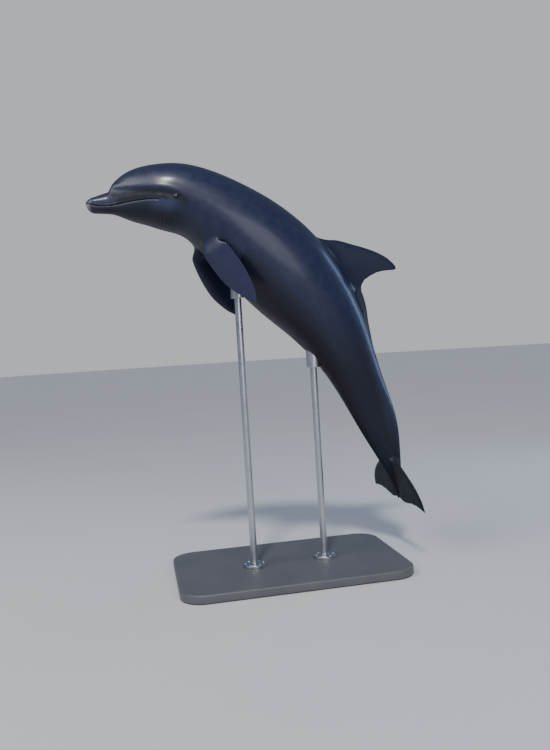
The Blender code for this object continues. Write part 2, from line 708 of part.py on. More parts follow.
def cylinder(name, place, radius, low, high, group, finish=None, sides=24):
    """An upright cylinder."""
    bm = bmesh.new()
    bmesh.ops.create_cone(bm, cap_ends=True, segments=sides, radius1=radius, radius2=radius, depth=high - low)
    bm.transform(Matrix.Translation((place[0], place[1], (low + high) / 2)))
    return add_object(name, mesh_of(bm, name), group, finish)


def rounded(obj, width, segments):
    """Round the sharp edges of an object."""
    step = obj.modifiers.new("rounded", "BEVEL")
    step.width = width
    step.segments = segments
    step.limit_method = "ANGLE"
    step.angle_limit = math.radians(60)


def stand_base(group, finish):
    """The low plinth with its round corners."""
    bm = bmesh.new()
    bmesh.ops.create_cube(bm, size=1)
    bm.transform(Matrix.Translation((0, 0, BASE_SIZE[2] / 2)) @ Matrix.Diagonal((*BASE_SIZE, 1)))
    upright = [e for e in bm.edges if abs(e.verts[0].co.z - e.verts[1].co.z) > BASE_SIZE[2] / 2]
    bmesh.ops.bevel(bm, geom=upright, offset=BASE_CORNER, segments=6, profile=0.5, affect="EDGES")
    rounded(add_object("stand_base", mesh_of(bm, "stand_base"), group, finish), BASE_EDGE, 2)


def rod_place(u):
    """Where a rod meets the belly at station u."""
    return body_points(np.array([u]), np.full((1, 1), math.pi), 1)[0, 0]


def stand(group, cutters, cope, base, steel):
    """Base, two rods with a flange at the foot and a collar at the belly, coped to the skin."""
    stand_base(group, base)
    floor = BASE_SIZE[2] + CUT
    for name, u in zip(("front", "rear"), ROD_STATIONS):
        place = rod_place(u)
        top = place[2] + COLLAR_RISE
        rod = cylinder("stand_rod_" + name, place, ROD_RADIUS, floor, top, group, steel)
        cut(rod, cope)
        bore = helper(cylinder("cutter_bore_" + name, place, ROD_RADIUS + CUT, -0.1, top + 0.1, cutters))
        flange = cylinder("stand_flange_" + name, place, FLANGE_RADIUS, floor, floor + FLANGE_HEIGHT, group, steel)
        rounded(flange, 0.002, 1)
        cut(flange, bore)
        low = place[2] - COLLAR_HEIGHT
        collar = cylinder("stand_collar_" + name, place, COLLAR_RADIUS, low, top, group, steel)
        rounded(collar, 0.002, 1)
        cut(collar, bore)
        cut(collar, cope)
        for obj in (rod, collar):
            keep_piece(obj, (place[0], place[1], low))


def flippers(group, cope, finish):
    """Both flippers, each a loft whose inner end is coped to the skin."""
    for name, side in (("flipper_left", 1), ("flipper_right", -1)):
        sections, tip = flipper_sections(side, FLIPPER_ROWS, FLIPPER_POINTS)
        bm = bmesh.new()
        rows = [[bm.verts.new(point) for point in ring] for ring in sections]
        for inner, outer in zip(rows, rows[1:]):
            for k in range(FLIPPER_POINTS):
                bm.faces.new((inner[k - 1], inner[k], outer[k], outer[k - 1]))
        bm.faces.new(rows[0][::-1])
        end = bm.verts.new(tip)
        for k in range(FLIPPER_POINTS):
            bm.faces.new((rows[-1][k - 1], rows[-1][k], end))
        cut(add_object(name, mesh_of(bm, name), group, finish), cope)
        keep_piece(bpy.data.objects[name], tip)


def keep_piece(obj, point):
    """Apply an object's cuts and keep only the piece nearest to a point."""
    mesh = settled(obj)
    bm = bmesh.new()
    bm.from_mesh(mesh)
    bm.verts.ensure_lookup_table()
    bm.verts.index_update()
    far = [(vert.co - Vector(point)).length for vert in bm.verts]
    keep = min(islands(bm), key=lambda piece: min(far[k] for k in piece))
    bmesh.ops.delete(bm, geom=[v for v in bm.verts if v.index not in keep], context="VERTS")
    obj.data = mesh_of(bm, obj.name)
    obj.data.shade_smooth()
    obj.data.set_sharp_from_angle(angle=math.radians(35))


def main():
    clear()
    parts = collection("bottlenose_dolphin")
    cutters = collection("cutters")
    finishes = {name: material(name) for name in COLOURS}
    parted_skin(parts, cutters, finishes["skin"])
    for name, side in (("left", 1), ("right", -1)):
        ball("eye_" + name, eye_centre(side), EYE_RADIUS, parts, finishes["eye"])
    cope = helper(add_object("cutter_cope", skin_mesh("cutter_cope", CUT), cutters))
    flippers(parts, cope, finishes["skin"])
    stand(parts, cutters, cope, finishes["base"], finishes["steel"])


main()
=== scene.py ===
import json
import math

import bmesh
import bpy
import numpy as np
from mathutils import Matrix, Vector
from mathutils.bvhtree import BVHTree
from mathutils.kdtree import KDTree

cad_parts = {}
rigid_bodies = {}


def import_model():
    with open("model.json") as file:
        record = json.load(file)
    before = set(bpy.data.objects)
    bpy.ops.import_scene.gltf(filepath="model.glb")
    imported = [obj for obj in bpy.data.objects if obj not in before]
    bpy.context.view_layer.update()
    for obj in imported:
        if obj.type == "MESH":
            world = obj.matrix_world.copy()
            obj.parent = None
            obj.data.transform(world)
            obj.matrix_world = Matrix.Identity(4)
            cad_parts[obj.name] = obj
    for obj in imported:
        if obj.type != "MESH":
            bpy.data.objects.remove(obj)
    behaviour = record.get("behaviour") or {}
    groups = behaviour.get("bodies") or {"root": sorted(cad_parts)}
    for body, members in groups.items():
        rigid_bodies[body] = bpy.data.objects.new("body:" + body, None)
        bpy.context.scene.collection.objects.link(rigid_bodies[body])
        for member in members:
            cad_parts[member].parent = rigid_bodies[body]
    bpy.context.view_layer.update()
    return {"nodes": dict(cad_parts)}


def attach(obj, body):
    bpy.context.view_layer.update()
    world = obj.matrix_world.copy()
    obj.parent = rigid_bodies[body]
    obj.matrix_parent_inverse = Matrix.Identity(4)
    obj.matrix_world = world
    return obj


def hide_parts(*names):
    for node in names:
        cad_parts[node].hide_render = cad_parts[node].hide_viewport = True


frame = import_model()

# %% [markdown]
# # A leaping bottlenose dolphin on its display stand
# A museum keeps an animal in mid leap by casting it in resin from a sculpted mould and holding it up on
# steel rods. We make the same thing in four steps: the skin with its fins, the eyes, the stand, and the
# light. The sizes below are those of the CAD model that was just loaded.

# %% [markdown]
# ## The straight body
# A dolphin is a spindle. Each cross section has a crest, a belly, a width, and two powers that say how
# full its upper and lower half are (2 is an ellipse, less is leaner). A sculptor would cut these sections
# from board and clay over them; we let smooth splines run through them. All sizes are shares of the
# length from the beak tip to the notch of the tail.

# %% Sections of the body
LENGTH = 2.50
# station, belly below the axis, half width, upper power, lower power, level of the widest line
SECTIONS = (
    (0.000, 0.0155, 0.0150, 2.20, 2.20, 0.0035), (0.012, 0.0158, 0.0165, 2.20, 2.20, 0.0025),
    (0.030, 0.0180, 0.0180, 2.20, 2.20, -0.0018), (0.050, 0.0220, 0.0205, 2.10, 2.20, -0.0028),
    (0.070, 0.0315, 0.0305, 2.10, 2.20, -0.0020), (0.090, 0.0408, 0.0410, 2.10, 2.20, 0.0000),
    (0.115, 0.0493, 0.0510, 2.10, 2.20, 0.0020), (0.140, 0.0572, 0.0585, 2.10, 2.20, 0.0030),
    (0.170, 0.0620, 0.0650, 2.10, 2.10, 0.0030), (0.200, 0.0640, 0.0700, 2.00, 2.10, 0.0010),
    (0.240, 0.0715, 0.0760, 2.00, 2.10, -0.0020), (0.290, 0.0830, 0.0830, 2.00, 2.10, -0.0040),
    (0.350, 0.0925, 0.0875, 2.00, 2.05, -0.0040), (0.410, 0.0993, 0.0880, 2.00, 2.00, -0.0040),
    (0.470, 0.0983, 0.0850, 2.00, 2.00, -0.0040), (0.530, 0.0890, 0.0760, 1.95, 2.00, -0.0030),
    (0.590, 0.0760, 0.0640, 1.90, 1.95, -0.0020), (0.650, 0.0640, 0.0510, 1.80, 1.85, 0.0000),
    (0.720, 0.0540, 0.0370, 1.70, 1.70, 0.0000), (0.790, 0.0465, 0.0260, 1.60, 1.60, 0.0000),
    (0.850, 0.0370, 0.0185, 1.60, 1.60, 0.0000), (0.900, 0.0260, 0.0145, 1.70, 1.70, 0.0000),
    (0.940, 0.0165, 0.0120, 1.90, 1.90, 0.0000), (1.000, 0.0012, 0.0030, 2.00, 2.00, 0.0000),
)
BEAK_TOP = (
    (0.000, 0.0128), (0.012, 0.0142), (0.025, 0.0170), (0.045, 0.0215), (0.070, 0.0250), (0.100, 0.0270),
)
BACK_TOP = (
    (0.047, 0.0225), (0.054, 0.0340), (0.063, 0.0428), (0.076, 0.0515), (0.092, 0.0590), (0.112, 0.0647),
    (0.140, 0.0692), (0.170, 0.0733), (0.200, 0.0758), (0.235, 0.0775), (0.275, 0.0812), (0.320, 0.0872),
    (0.370, 0.0918), (0.420, 0.0930), (0.470, 0.0895), (0.520, 0.0835), (0.570, 0.0755), (0.620, 0.0680),
    (0.670, 0.0600), (0.720, 0.0528), (0.770, 0.0490), (0.820, 0.0456), (0.860, 0.0385), (0.900, 0.0275),
    (0.940, 0.0165), (1.000, 0.0012),
)
MELON_RISE = 1.5        # slope of the melon's face where it drops to the beak
CREASE = 0.0010         # softness of the crease there
NOSE = 0.016            # length of the rounded beak tip
print("sections of the body:", len(SECTIONS), "points of the back's outline:", len(BACK_TOP))

# %% Reading the sections


def natural_spline(x, rows):
    """The natural cubic spline through rows of (place, value), read at x."""
    xs, ys = np.array(rows, float).T
    n, h, d = len(xs), np.diff(xs), np.diff(ys) / np.diff(xs)
    matrix, right = np.eye(n), np.zeros(n)
    for i in range(1, n - 1):
        matrix[i, i - 1:i + 2] = h[i - 1], 2 * (h[i - 1] + h[i]), h[i]
        right[i] = 6 * (d[i] - d[i - 1])
    bend = np.linalg.solve(matrix, right)
    i = np.clip(np.searchsorted(xs, x) - 1, 0, n - 2)
    t = x - xs[i]
    slope = d[i] - h[i] * (2 * bend[i] + bend[i + 1]) / 6
    return ys[i] + t * (slope + t * (bend[i] / 2 + t * (bend[i + 1] - bend[i]) / (6 * h[i])))


def section(u):
    """Crest, belly, half width, upper and lower power and widest level at stations u, in metres."""
    rows = np.array(SECTIONS)
    belly, width, upper, lower, level = (natural_spline(u, rows[:, (0, i)]) for i in range(1, 6))
    beak = natural_spline(u, BEAK_TOP)
    start, height = BACK_TOP[0]
    back = np.where(u < start, height - MELON_RISE * (start - u), natural_spline(u, BACK_TOP))
    rise = back - beak
    joined = beak + (rise + np.sqrt(rise ** 2 + 4 * CREASE ** 2)) / 2
    crest = np.where(u < BEAK_TOP[-1][0], joined, back)
    nose = np.sqrt(1 - np.clip(1 - u / NOSE, 0, 1) ** 2)
    crest = level + (crest - level) * nose
    belly = -level + (belly + level) * nose
    return LENGTH * crest, LENGTH * belly, LENGTH * width * nose, upper, lower, LENGTH * level


crests, bellies, half_widths, *_ = section(np.linspace(0, 1, 400))
depth, width = (crests + bellies).max(), 2 * half_widths.max()
print("greatest depth, mm:", round(1000 * depth), "width:", round(1000 * width))

# %% [markdown]
# ## The leap
# The backbone bends the straight body into the leap. Its slope below the horizontal is given at a few
# stations and added up in small steps, as one would bend an armature wire. A small bank and a swing of
# the tail keep the pose alive. Every point of the body then hangs on this axis.

# %% The axis of the body, bent
BEAK_TIP = (-0.892, -0.004, 1.900)
# station, and slope of the axis below the horizontal in degrees
PITCH = (
    (0.00, -4.8), (0.05, -5.0), (0.10, -3.5), (0.14, 1.5), (0.20, 17.3), (0.26, 31.0), (0.34, 40.0),
    (0.42, 45.4), (0.50, 52.0), (0.58, 59.4), (0.66, 64.9), (0.74, 66.8), (0.82, 69.5), (0.90, 73.0),
    (0.96, 79.0), (1.00, 87.0),
)
BANK = math.radians(4)
TAIL_LEAN = math.radians(6)
TAIL_TURN = (0.45, 0.85)                # stations between which the tail swings round
AXIS_STEPS = 4000
print("steepest slope of the axis, degrees:", max(slope for _, slope in PITCH))

# %% Bending the axis


def smooth_step(x):
    """An easing from 0 to 1."""
    x = np.clip(x, 0, 1)
    return x * x * (3 - 2 * x)


def mix(a, b, share):
    """Points between a and b, one share for each."""
    return a + (b - a) * np.asarray(share)[..., None]


def turn(a, b, angle):
    """Direction a turned by an angle towards direction b, square to it."""
    return np.cos(angle)[:, None] * a + np.sin(angle)[:, None] * b


def posed_axis():
    """Stations along the body, the axis bent into the leap, and its tailward, left and dorsal directions."""
    u = np.linspace(0, 1, AXIS_STEPS + 1)
    flat = np.zeros_like(u)
    pitch = np.radians(natural_spline(u, PITCH))
    lean = TAIL_LEAN * smooth_step((u - TAIL_TURN[0]) / (TAIL_TURN[1] - TAIL_TURN[0]))
    along = np.stack([np.cos(pitch), flat, -np.sin(pitch)], -1)
    dorsal = np.stack([np.sin(pitch), flat, np.cos(pitch)], -1)
    left = np.stack([flat, flat - 1, flat], -1)
    tailward = turn(along, -left, lean)
    left = turn(left, along, lean)
    bank = flat + BANK
    left, dorsal = turn(left, dorsal, bank), turn(dorsal, -left, bank)
    step = (tailward[1:] + tailward[:-1]) / 2 * LENGTH / AXIS_STEPS
    place = np.vstack([np.zeros(3), np.cumsum(step, axis=0)]) + BEAK_TIP
    return u, place, tailward, left, dorsal


AXIS = posed_axis()


def axis_at(u):
    """Place, tailward, left and dorsal direction of the axis at stations u."""
    return [np.stack([np.interp(u, AXIS[0], part[:, k]) for k in range(3)], -1) for part in AXIS[1:]]


print("tail notch, mm:", (1000 * axis_at(1.0)[0]).round())

# %% Points of the body round its axis


def body_points(u, angle, side):
    """Points of the finless body. angle runs from crest to belly; side is 1 for left, -1 for right."""
    crest, belly, width, upper, lower, level = (v[:, None] for v in section(u))
    place, _, left, dorsal = (v[:, None] for v in axis_at(u))
    top = angle <= math.pi / 2
    height = np.where(top, crest - level, -belly - level)
    power = np.where(top, upper, lower)
    across, over = np.abs(np.sin(angle)), np.abs(np.cos(angle))
    swell = (across ** power + over ** power) ** (-1 / power)
    out = side * width * across * swell
    rise = level + height * over * swell
    return place + out[..., None] * left + rise[..., None] * dorsal


def skin_point(u, angle, side):
    """A point of the skin at one station and one angle in degrees, and the direction out of it."""
    def point(v, turned):
        return body_points(np.array([v]), np.radians([[turned]]), side)[0, 0]

    across = point(u, angle + 1) - point(u, max(angle - 1, 0))
    along = point(u + 0.002, angle) - point(u - 0.002, angle)
    normal = np.cross(along, across)
    normal /= np.linalg.norm(normal)
    return point(u, angle), normal * np.sign(normal @ (point(u, angle) - axis_at(u)[0]))


print("middle of the back, mm:", (1000 * skin_point(0.5, 0, 1)[0]).round())

# %% [markdown]
# ## Fins
# A fin is a flat outline with the thickness of a hydrofoil: round in front, fine behind. The fin of the
# back and the two flukes have no bones that part them from the body, so they grow out of the body's own
# skin: a band of its columns is pulled out to the outline. The back fin's rear edge carries a few nicks
# and runs out in a long low ridge down the back, and the flukes' edge is a little ragged, as on any grown
# animal.

# %% Outlines and thickness of the fins
# a fin's root runs between two stations, its plane is square to the axis at a third, and the points of
# its front and rear edge are span and chord in metres
DORSAL_ROOT = (0.428, 0.690)
DORSAL_FOOT = 0.440     # where its outline is measured from
DORSAL_PLANE = 0.525
DORSAL_LEAD = (
    (0.036, 0.022), (0.084, 0.067), (0.136, 0.130), (0.192, 0.202), (0.237, 0.272), (0.261, 0.330),
    (0.2675, 0.364), (0.268, 0.382), (0.262, 0.394),
)
DORSAL_TRAIL = (
    (-0.083, 0.590), (-0.060, 0.545), (-0.038, 0.505), (0.000, 0.442), (0.024, 0.385), (0.046, 0.345),
    (0.070, 0.334), (0.111, 0.332), (0.164, 0.344), (0.212, 0.366), (0.240, 0.385), (0.253, 0.393),
    (0.262, 0.394),
)
FLUKE_ROOT = (0.900, 1.000)
FLUKE_PLANE = 0.955
FLUKE_LEAD = (
    (0.070, 0.018), (0.120, 0.043), (0.175, 0.078), (0.225, 0.115), (0.262, 0.152), (0.290, 0.197),
    (0.305, 0.250),
)
FLUKE_TRAIL = ((0.035, 0.259), (0.100, 0.253), (0.170, 0.240), (0.235, 0.239), (0.280, 0.245), (0.305, 0.250))
# thickness to chord, share of the root at the tip, span of the root, reach of the hollow joint, bow, and
# the share of the root over which the front edge rises out of the body
DORSAL_SHAPE = (0.15, 0.345, 0.05, 0.072, 0.022, 0.10)
FLUKE_SHAPE = (0.11, 0.55, 0.03, 0.045, 0.0, 0.16)
# nicks of a rear edge: share of that edge from the body, depth and half length in metres
DORSAL_NICKS = ((0.57, 0.0045, 0.007), (0.68, 0.0030, 0.005), (0.82, 0.0035, 0.006))
FLUKE_NICKS = ((0.30, 0.0030, 0.008), (0.52, 0.0045, 0.006), (0.71, 0.0030, 0.009), (0.84, 0.0035, 0.005))
RIM = 0.0012            # half thickness of the thinnest edge
REAR_EASE = 0.12        # share of the root over which the rear edge sinks back into the body
FRONT_HOLD = 0.22       # share of the root along which a fin never dips into the body
JOINT_COLUMNS = 0.4     # share of a band's columns in the hollow joint
JOINT_FULLNESS = 0.45
print("height of the back fin, mm:", round(1000 * max(row[0] for row in DORSAL_LEAD)))

# %% A fin in its own plane


def edge_curve(points, share):
    """A smooth curve through an edge's points, read at shares of its length."""
    points = np.array(points, float)
    run = np.concatenate([[0], np.cumsum(np.hypot(*np.diff(points, axis=0).T))])
    run /= run[-1]
    return [natural_spline(share, np.stack([run, points[:, k]], -1)) for k in range(2)]


def foil(chord_share):
    """Half thickness of a hydrofoil of unit thickness and chord."""
    c = np.clip(chord_share, 0, 1)
    return 5 * (0.2969 * np.sqrt(c) - 0.1260 * c - 0.3516 * c ** 2 + 0.2843 * c ** 3 - 0.1036 * c ** 4)


class Fin:
    """A fin in its own plane, with a leading and a trailing edge that meet at the tip."""

    def __init__(self, origin, span, chord, root, edges, shape, nicks=()):
        self.origin, self.span, self.chord = origin, span, chord
        self.normal = np.cross(span, chord)
        front, rear = (self.flat(point) for point in root)
        self.lead, self.trail = (front,) + edges[0], (rear,) + edges[1]
        self.thickness, self.tip, self.root, self.fillet, self.bow, self.ease = shape
        self.nicks = nicks
        fine = np.linspace(0, 1, 200)
        self.front = edge_curve(self.lead, fine)
        self.rear = edge_curve(self.trail, fine)

    def flat(self, point):
        """Span and chord of points."""
        return (point - self.origin) @ self.span, (point - self.origin) @ self.chord

    def edge(self, share):
        """Edge points, from the front of the root over the tip to its rear."""
        lead = edge_curve(self.lead, np.clip(share / self.tip, 0, 1))
        behind = np.clip((1 - share) / (1 - self.tip), 0, 1)
        trail = edge_curve(self.trail, behind)
        length = np.hypot(*np.diff(np.array(self.trail), axis=0).T).sum()
        for place, depth, half in self.nicks:
            trail[1] = trail[1] - depth * np.exp(-(((behind - place) * length / half) ** 2))
        span, chord = (np.where(share <= self.tip, a, b) for a, b in zip(lead, trail))
        return self.origin + span[:, None] * self.span + chord[:, None] * self.chord

    def half_thickness(self, points):
        """Half thickness of the fin at points of its plane."""
        span, chord = self.flat(points)
        span = np.maximum(span, self.root)
        front, rear = np.interp(span, *self.front), np.interp(span, *self.rear)
        width = np.maximum(rear - front, 0)
        share = np.clip((chord - front) / np.maximum(width, 1e-6), 0, 1)
        return self.thickness * width * foil(share)

# %% The back fin and the flukes


def dorsal_fin():
    """The fin on the back. Its trailing edge runs out in a low ridge."""
    root = body_points(np.array(DORSAL_ROOT), np.zeros((2, 1)), 1)[:, 0]
    _, along, _, dorsal = axis_at(DORSAL_PLANE)
    foot = body_points(np.array([DORSAL_FOOT]), np.zeros((1, 1)), 1)[0, 0]
    return Fin(foot, dorsal, along, root, (DORSAL_LEAD, DORSAL_TRAIL), DORSAL_SHAPE, DORSAL_NICKS)


def fluke(side):
    """One blade of the tail, from the stock to the notch."""
    notch = axis_at(FLUKE_ROOT[1])[0]
    _, along, left, _ = axis_at(FLUKE_PLANE)
    front = body_points(np.array([FLUKE_ROOT[0]]), np.array([[math.pi / 2]]), side)[0, 0]
    origin = axis_at(FLUKE_ROOT[0])[0]
    edges = FLUKE_LEAD, FLUKE_TRAIL
    return Fin(origin, side * left, along, (front, notch), edges, FLUKE_SHAPE, FLUKE_NICKS)


print("reach of a fluke from the tail's axis, mm:", round(1000 * fluke(1).front[0].max()))

# %% Growing a fin out of the skin


def grow_fin(points, body, u, band, outside, fin, root, face):
    """Pull a band of columns out into one face of a fin.

    band lists the columns from the border of the band to the fin's edge, outside is the column beyond
    the border, and face is 1 or -1, the side of the fin's plane.
    """
    zone = np.flatnonzero((u > root[0]) & (u < root[1]))
    share = (u[zone] - root[0]) / (root[1] - root[0])
    base, edge = body[zone, band[-1]], fin.edge(share)
    reach = np.linalg.norm(edge - base, axis=1)
    start = body[zone, band[0]]
    trailing = np.sin(math.pi * np.clip((share - fin.tip) / (1 - fin.tip), 0, 1))
    bow = (4 * fin.bow * trailing)[:, None] * fin.chord
    inward = start - body[zone, outside]
    inward /= np.linalg.norm(inward, axis=1)[:, None]
    stop = np.clip(fin.fillet / np.maximum(reach, 1e-6), 0.02, 0.5)

    def surface(d):
        flat = mix(base, edge, d) - bow * np.asarray(d * (1 - d))[..., None]
        half = fin.half_thickness(flat) + RIM * np.sqrt(1 - d ** 8)
        return flat + face * half[:, None] * fin.normal

    foot = surface(stop)
    slope = surface(np.minimum(stop + 0.02, 1)) - foot
    slope /= np.maximum(np.linalg.norm(slope, axis=1), 1e-9)[:, None]
    pull = JOINT_FULLNESS * np.linalg.norm(foot - start, axis=1)[:, None]
    near, far = start + inward * pull, foot - slope * pull
    keep = smooth_step(share / fin.ease) * smooth_step((1 - share) / REAR_EASE)
    front = 1 - smooth_step(share / FRONT_HOLD)
    count = len(band) - 1
    bend = max(2, round(count * JOINT_COLUMNS))
    for k in range(1, count + 1):
        s = k / bend
        grown = (1 - s) ** 3 * start + 3 * s * (1 - s) ** 2 * near + 3 * s * s * (1 - s) * far + s ** 3 * foot
        if k > bend:
            grown = surface(stop + (1 - stop) * math.sin(math.pi / 2 * (k - bend) / (count - bend)))
        sunk = np.maximum(np.sum((body[zone, band[k]] - grown) * fin.span, axis=1), 0) * front
        points[zone, band[k]] = mix(body[zone, band[k]], grown + sunk[:, None] * fin.span, keep)


# %% [markdown]
# ## The skin's net
# The skin is one closed net of rings and columns. A sculptor works finest where people look, and so do
# we: the rings stand about a millimetre apart at the eye, and the columns crowd at the eye, along the
# mouth and down the middle of the belly, where the body's slits are.

# %% Rings and columns of the net
# columns of a half ring: crest, upper flank, above the eye, eye and mouth, below the mouth, lower flank
BANDS = (18, 12, 8, 20, 14, 20)
# angles between which they lie, in degrees, on the head, on the tail and at the tip of the beak
KNOTS_HEAD = (0, 21, 78, 91, 106, 118, 180)
KNOTS_TAIL = (0, 21, 44, 56, 90, 136, 180)
KNOTS_TIP = (0, 21, 62, 75, 90, 104, 180)
TIP_END = 0.014         # station where the tip's angles have become the head's
TAIL_BLEND = (0.66, 0.88)               # stations between which the head's angles become the tail's
BELLY_CROWD = 0.65      # how strongly the last columns crowd to the middle of the belly
NOSE_RINGS = 14
# stations of each run of rings, and their number
RING_RUNS = (
    (NOSE, 0.100, 76), (0.100, 0.157, 52), (0.157, 0.187, 56), (0.187, 0.200, 14), (0.200, 0.320, 48),
    (0.320, DORSAL_ROOT[0], 26), (DORSAL_ROOT[0], DORSAL_ROOT[1], 92), (DORSAL_ROOT[1], FLUKE_ROOT[0], 52),
    (FLUKE_ROOT[0], FLUKE_ROOT[1], 64),
)
print("columns of a half ring:", sum(BANDS) + 1)


def ring_stations():
    """The stations of the rings, nose to tail."""
    nose = NOSE * (1 - np.cos(math.pi / 2 * np.arange(1, NOSE_RINGS + 1) / NOSE_RINGS))
    runs = [nose] + [np.linspace(a, b, n + 1) for a, b, n in RING_RUNS]
    for root, shape in ((DORSAL_ROOT, DORSAL_SHAPE), (FLUKE_ROOT, FLUKE_SHAPE)):
        runs.append(np.array([root[0] + shape[1] * (root[1] - root[0])]))
    return np.unique(np.concatenate(runs).round(7))


def column_angles(u):
    """The angle of every column of a half ring at stations u, in radians."""
    tip = smooth_step(u / TIP_END)[:, None]
    tail = smooth_step((u - TAIL_BLEND[0]) / (TAIL_BLEND[1] - TAIL_BLEND[0]))[:, None]
    knots = np.array(KNOTS_TIP) * (1 - tip) + np.array(KNOTS_HEAD) * tip
    knots = knots * (1 - tail) + np.array(KNOTS_TAIL) * tail
    columns = [knots[:, :1]]
    for k, count in enumerate(BANDS):
        t = np.arange(1, count + 1) / count
        if k == len(BANDS) - 1:
            t = (1 - BELLY_CROWD) * t + BELLY_CROWD * np.sin(math.pi / 2 * t)
        columns.append(knots[:, k, None] + (knots[:, k + 1] - knots[:, k])[:, None] * t)
    return np.radians(np.concatenate(columns, axis=1))

# %% Both halves of the net


def half_skin(u, angles, side):
    """Rings by columns of one half of the skin, from crest to belly, with back fin and fluke."""
    body = body_points(u, angles, side)
    points = body.copy()
    crest, upper, _, line, lower, _ = np.cumsum(BANDS)
    fin = dorsal_fin()
    face = side * np.sign(fin.normal @ axis_at(DORSAL_PLANE)[2])
    grow_fin(points, body, u, range(crest, -1, -1), crest + 1, fin, DORSAL_ROOT, face)
    fin = fluke(side)
    face = np.sign(fin.normal @ axis_at(FLUKE_PLANE)[3])
    grow_fin(points, body, u, range(upper, line + 1), upper - 1, fin, FLUKE_ROOT, face)
    grow_fin(points, body, u, range(lower, line - 1, -1), lower + 1, fin, FLUKE_ROOT, -face)
    return points


ring_u = ring_stations()
half_angles = column_angles(ring_u)
halves = [half_skin(ring_u, half_angles, side) for side in (1, -1)]
net = np.concatenate([halves[0], halves[1][:, -2:0:-1]], axis=1)
net_angle = np.degrees(np.concatenate([half_angles, half_angles[:, -2:0:-1]], axis=1))
net_side = np.concatenate([np.ones(halves[0].shape[1]), -np.ones(halves[0].shape[1] - 2)])
net_u = np.repeat(ring_u[:, None], net.shape[1], axis=1)
print("net of the skin:", net.shape[0], "rings of", net.shape[1], "points")

# %% [markdown]
# ## Folds of the skin
# Now the net is pressed and raised along its own normals, as a modelling tool presses clay: the line of
# the mouth with its soft lips, the crease that runs from the melon to the eye, the folds of the throat,
# the blowhole, the ear's pin hole, the hair pits of the beak and the slits of the belly. They are real
# dents in the mesh, so they show in the cast from every side and in any light.

# %% Directions out of the net, and its distances


def net_normals(points):
    """The direction out of a closed net at every point."""
    along = np.gradient(points, axis=0)
    across = np.roll(points, -1, axis=1) - np.roll(points, 1, axis=1)
    normal = np.cross(along, across)
    normal /= np.maximum(np.linalg.norm(normal, axis=2), 1e-12)[..., None]
    outward = points - axis_at(ring_u)[0][:, None]
    return normal * np.sign(np.sum(normal * outward))


def bell(distance, width):
    """A soft bump of height 1."""
    return np.exp(-((distance / width) ** 2))


def local(u, angle, side, tilt=0.0):
    """The net in the frame of one place of the skin: tailward, towards the back, and outwards."""
    point, normal = skin_point(u, angle, side)
    tailward = axis_at(u)[1]
    tailward = tailward - normal * (tailward @ normal)
    tailward /= np.linalg.norm(tailward)
    upward = np.cross(normal, tailward)
    if angle > 5:
        upward *= np.sign(upward @ axis_at(u)[3])
    back = tailward * math.cos(tilt) + upward * math.sin(tilt)
    upward = upward * math.cos(tilt) - tailward * math.sin(tilt)
    away = net - point
    return away @ back, away @ upward, away @ normal, (back, upward, normal)


net_out = net_normals(net)
radius = np.linalg.norm(net - axis_at(ring_u)[0][:, None], axis=2)
# station, and the angle at which the mouth's line runs, from the tip of the beak to behind its corner
MOUTH_LINE = (
    (0.000, 90.0), (0.004, 98.0), (0.010, 106.0), (0.018, 110.0), (0.028, 110.2), (0.048, 108.8),
    (0.061, 106.8), (0.074, 105.2), (0.100, 105.2), (0.123, 105.8), (0.141, 107.0), (0.160, 109.0),
)


def along_path(u, path):
    """The angle of a path at stations u, held still past its last point."""
    return natural_spline(np.minimum(u, path[-1][0]), path)


from_line = np.radians(net_angle - along_path(ring_u, MOUTH_LINE)[:, None]) * radius
print("farthest point of the net from the axis, mm:", round(1000 * radius.max()))

# %% Mouth, melon crease and throat
GAPE = 0.141            # station of the corner of the mouth
CUT_DEPTH = 0.0050
CUT_WIDTH = (0.0011, 0.011)             # of the mouth's line at the tip, and its growth along the beak
LIPS_RISE = (0.0012, 0.0065, 0.0035)    # height, distance from the cut and width of the lips' swelling
CORNER_RING = (0.016, 0.0016, 0.0022)   # radius, depth and width of the fold round the mouth's corner
CORNER_RISE = (0.022, 0.0012, 0.0045)   # radius, height and width of the swelling round that fold
CREASE_GROOVE = (0.0050, 0.013)         # depth and width of the melon's crease
CREASE_BROW = (0.0022, 0.026, 0.014)    # height, distance above the crease and width of the brow over it
# station and angle of the crease, from the foot of the melon to behind the eye
CREASE_PATH = (
    (0.046, 46), (0.055, 56), (0.065, 67), (0.078, 75.5), (0.0945, 82.5), (0.1105, 87.8), (0.132, 92.2),
    (0.1565, 95.8), (0.175, 99.0), (0.200, 102.0),
)
THROAT_FOLDS = ((0.139, 0.0022), (0.147, 0.0036), (0.157, 0.0018), (0.169, 0.0012))     # station, depth
print("length of the mouth, mm:", round(1000 * LENGTH * GAPE))

# %% Pressing the mouth, the crease and the throat


def mouth():
    """The cut of the mouth with a soft swelling of both lips."""
    fade = smooth_step((GAPE + 0.002 - net_u) / 0.010)
    width = CUT_WIDTH[0] + CUT_WIDTH[1] * np.clip(net_u, 0, GAPE)
    cut = -CUT_DEPTH * np.exp(-(np.abs(from_line) / width) ** 1.4)
    rise, off, soft = LIPS_RISE
    lips = rise * bell(np.abs(from_line) - off, soft) * smooth_step(net_u / 0.02)
    return fade * (cut + lips)


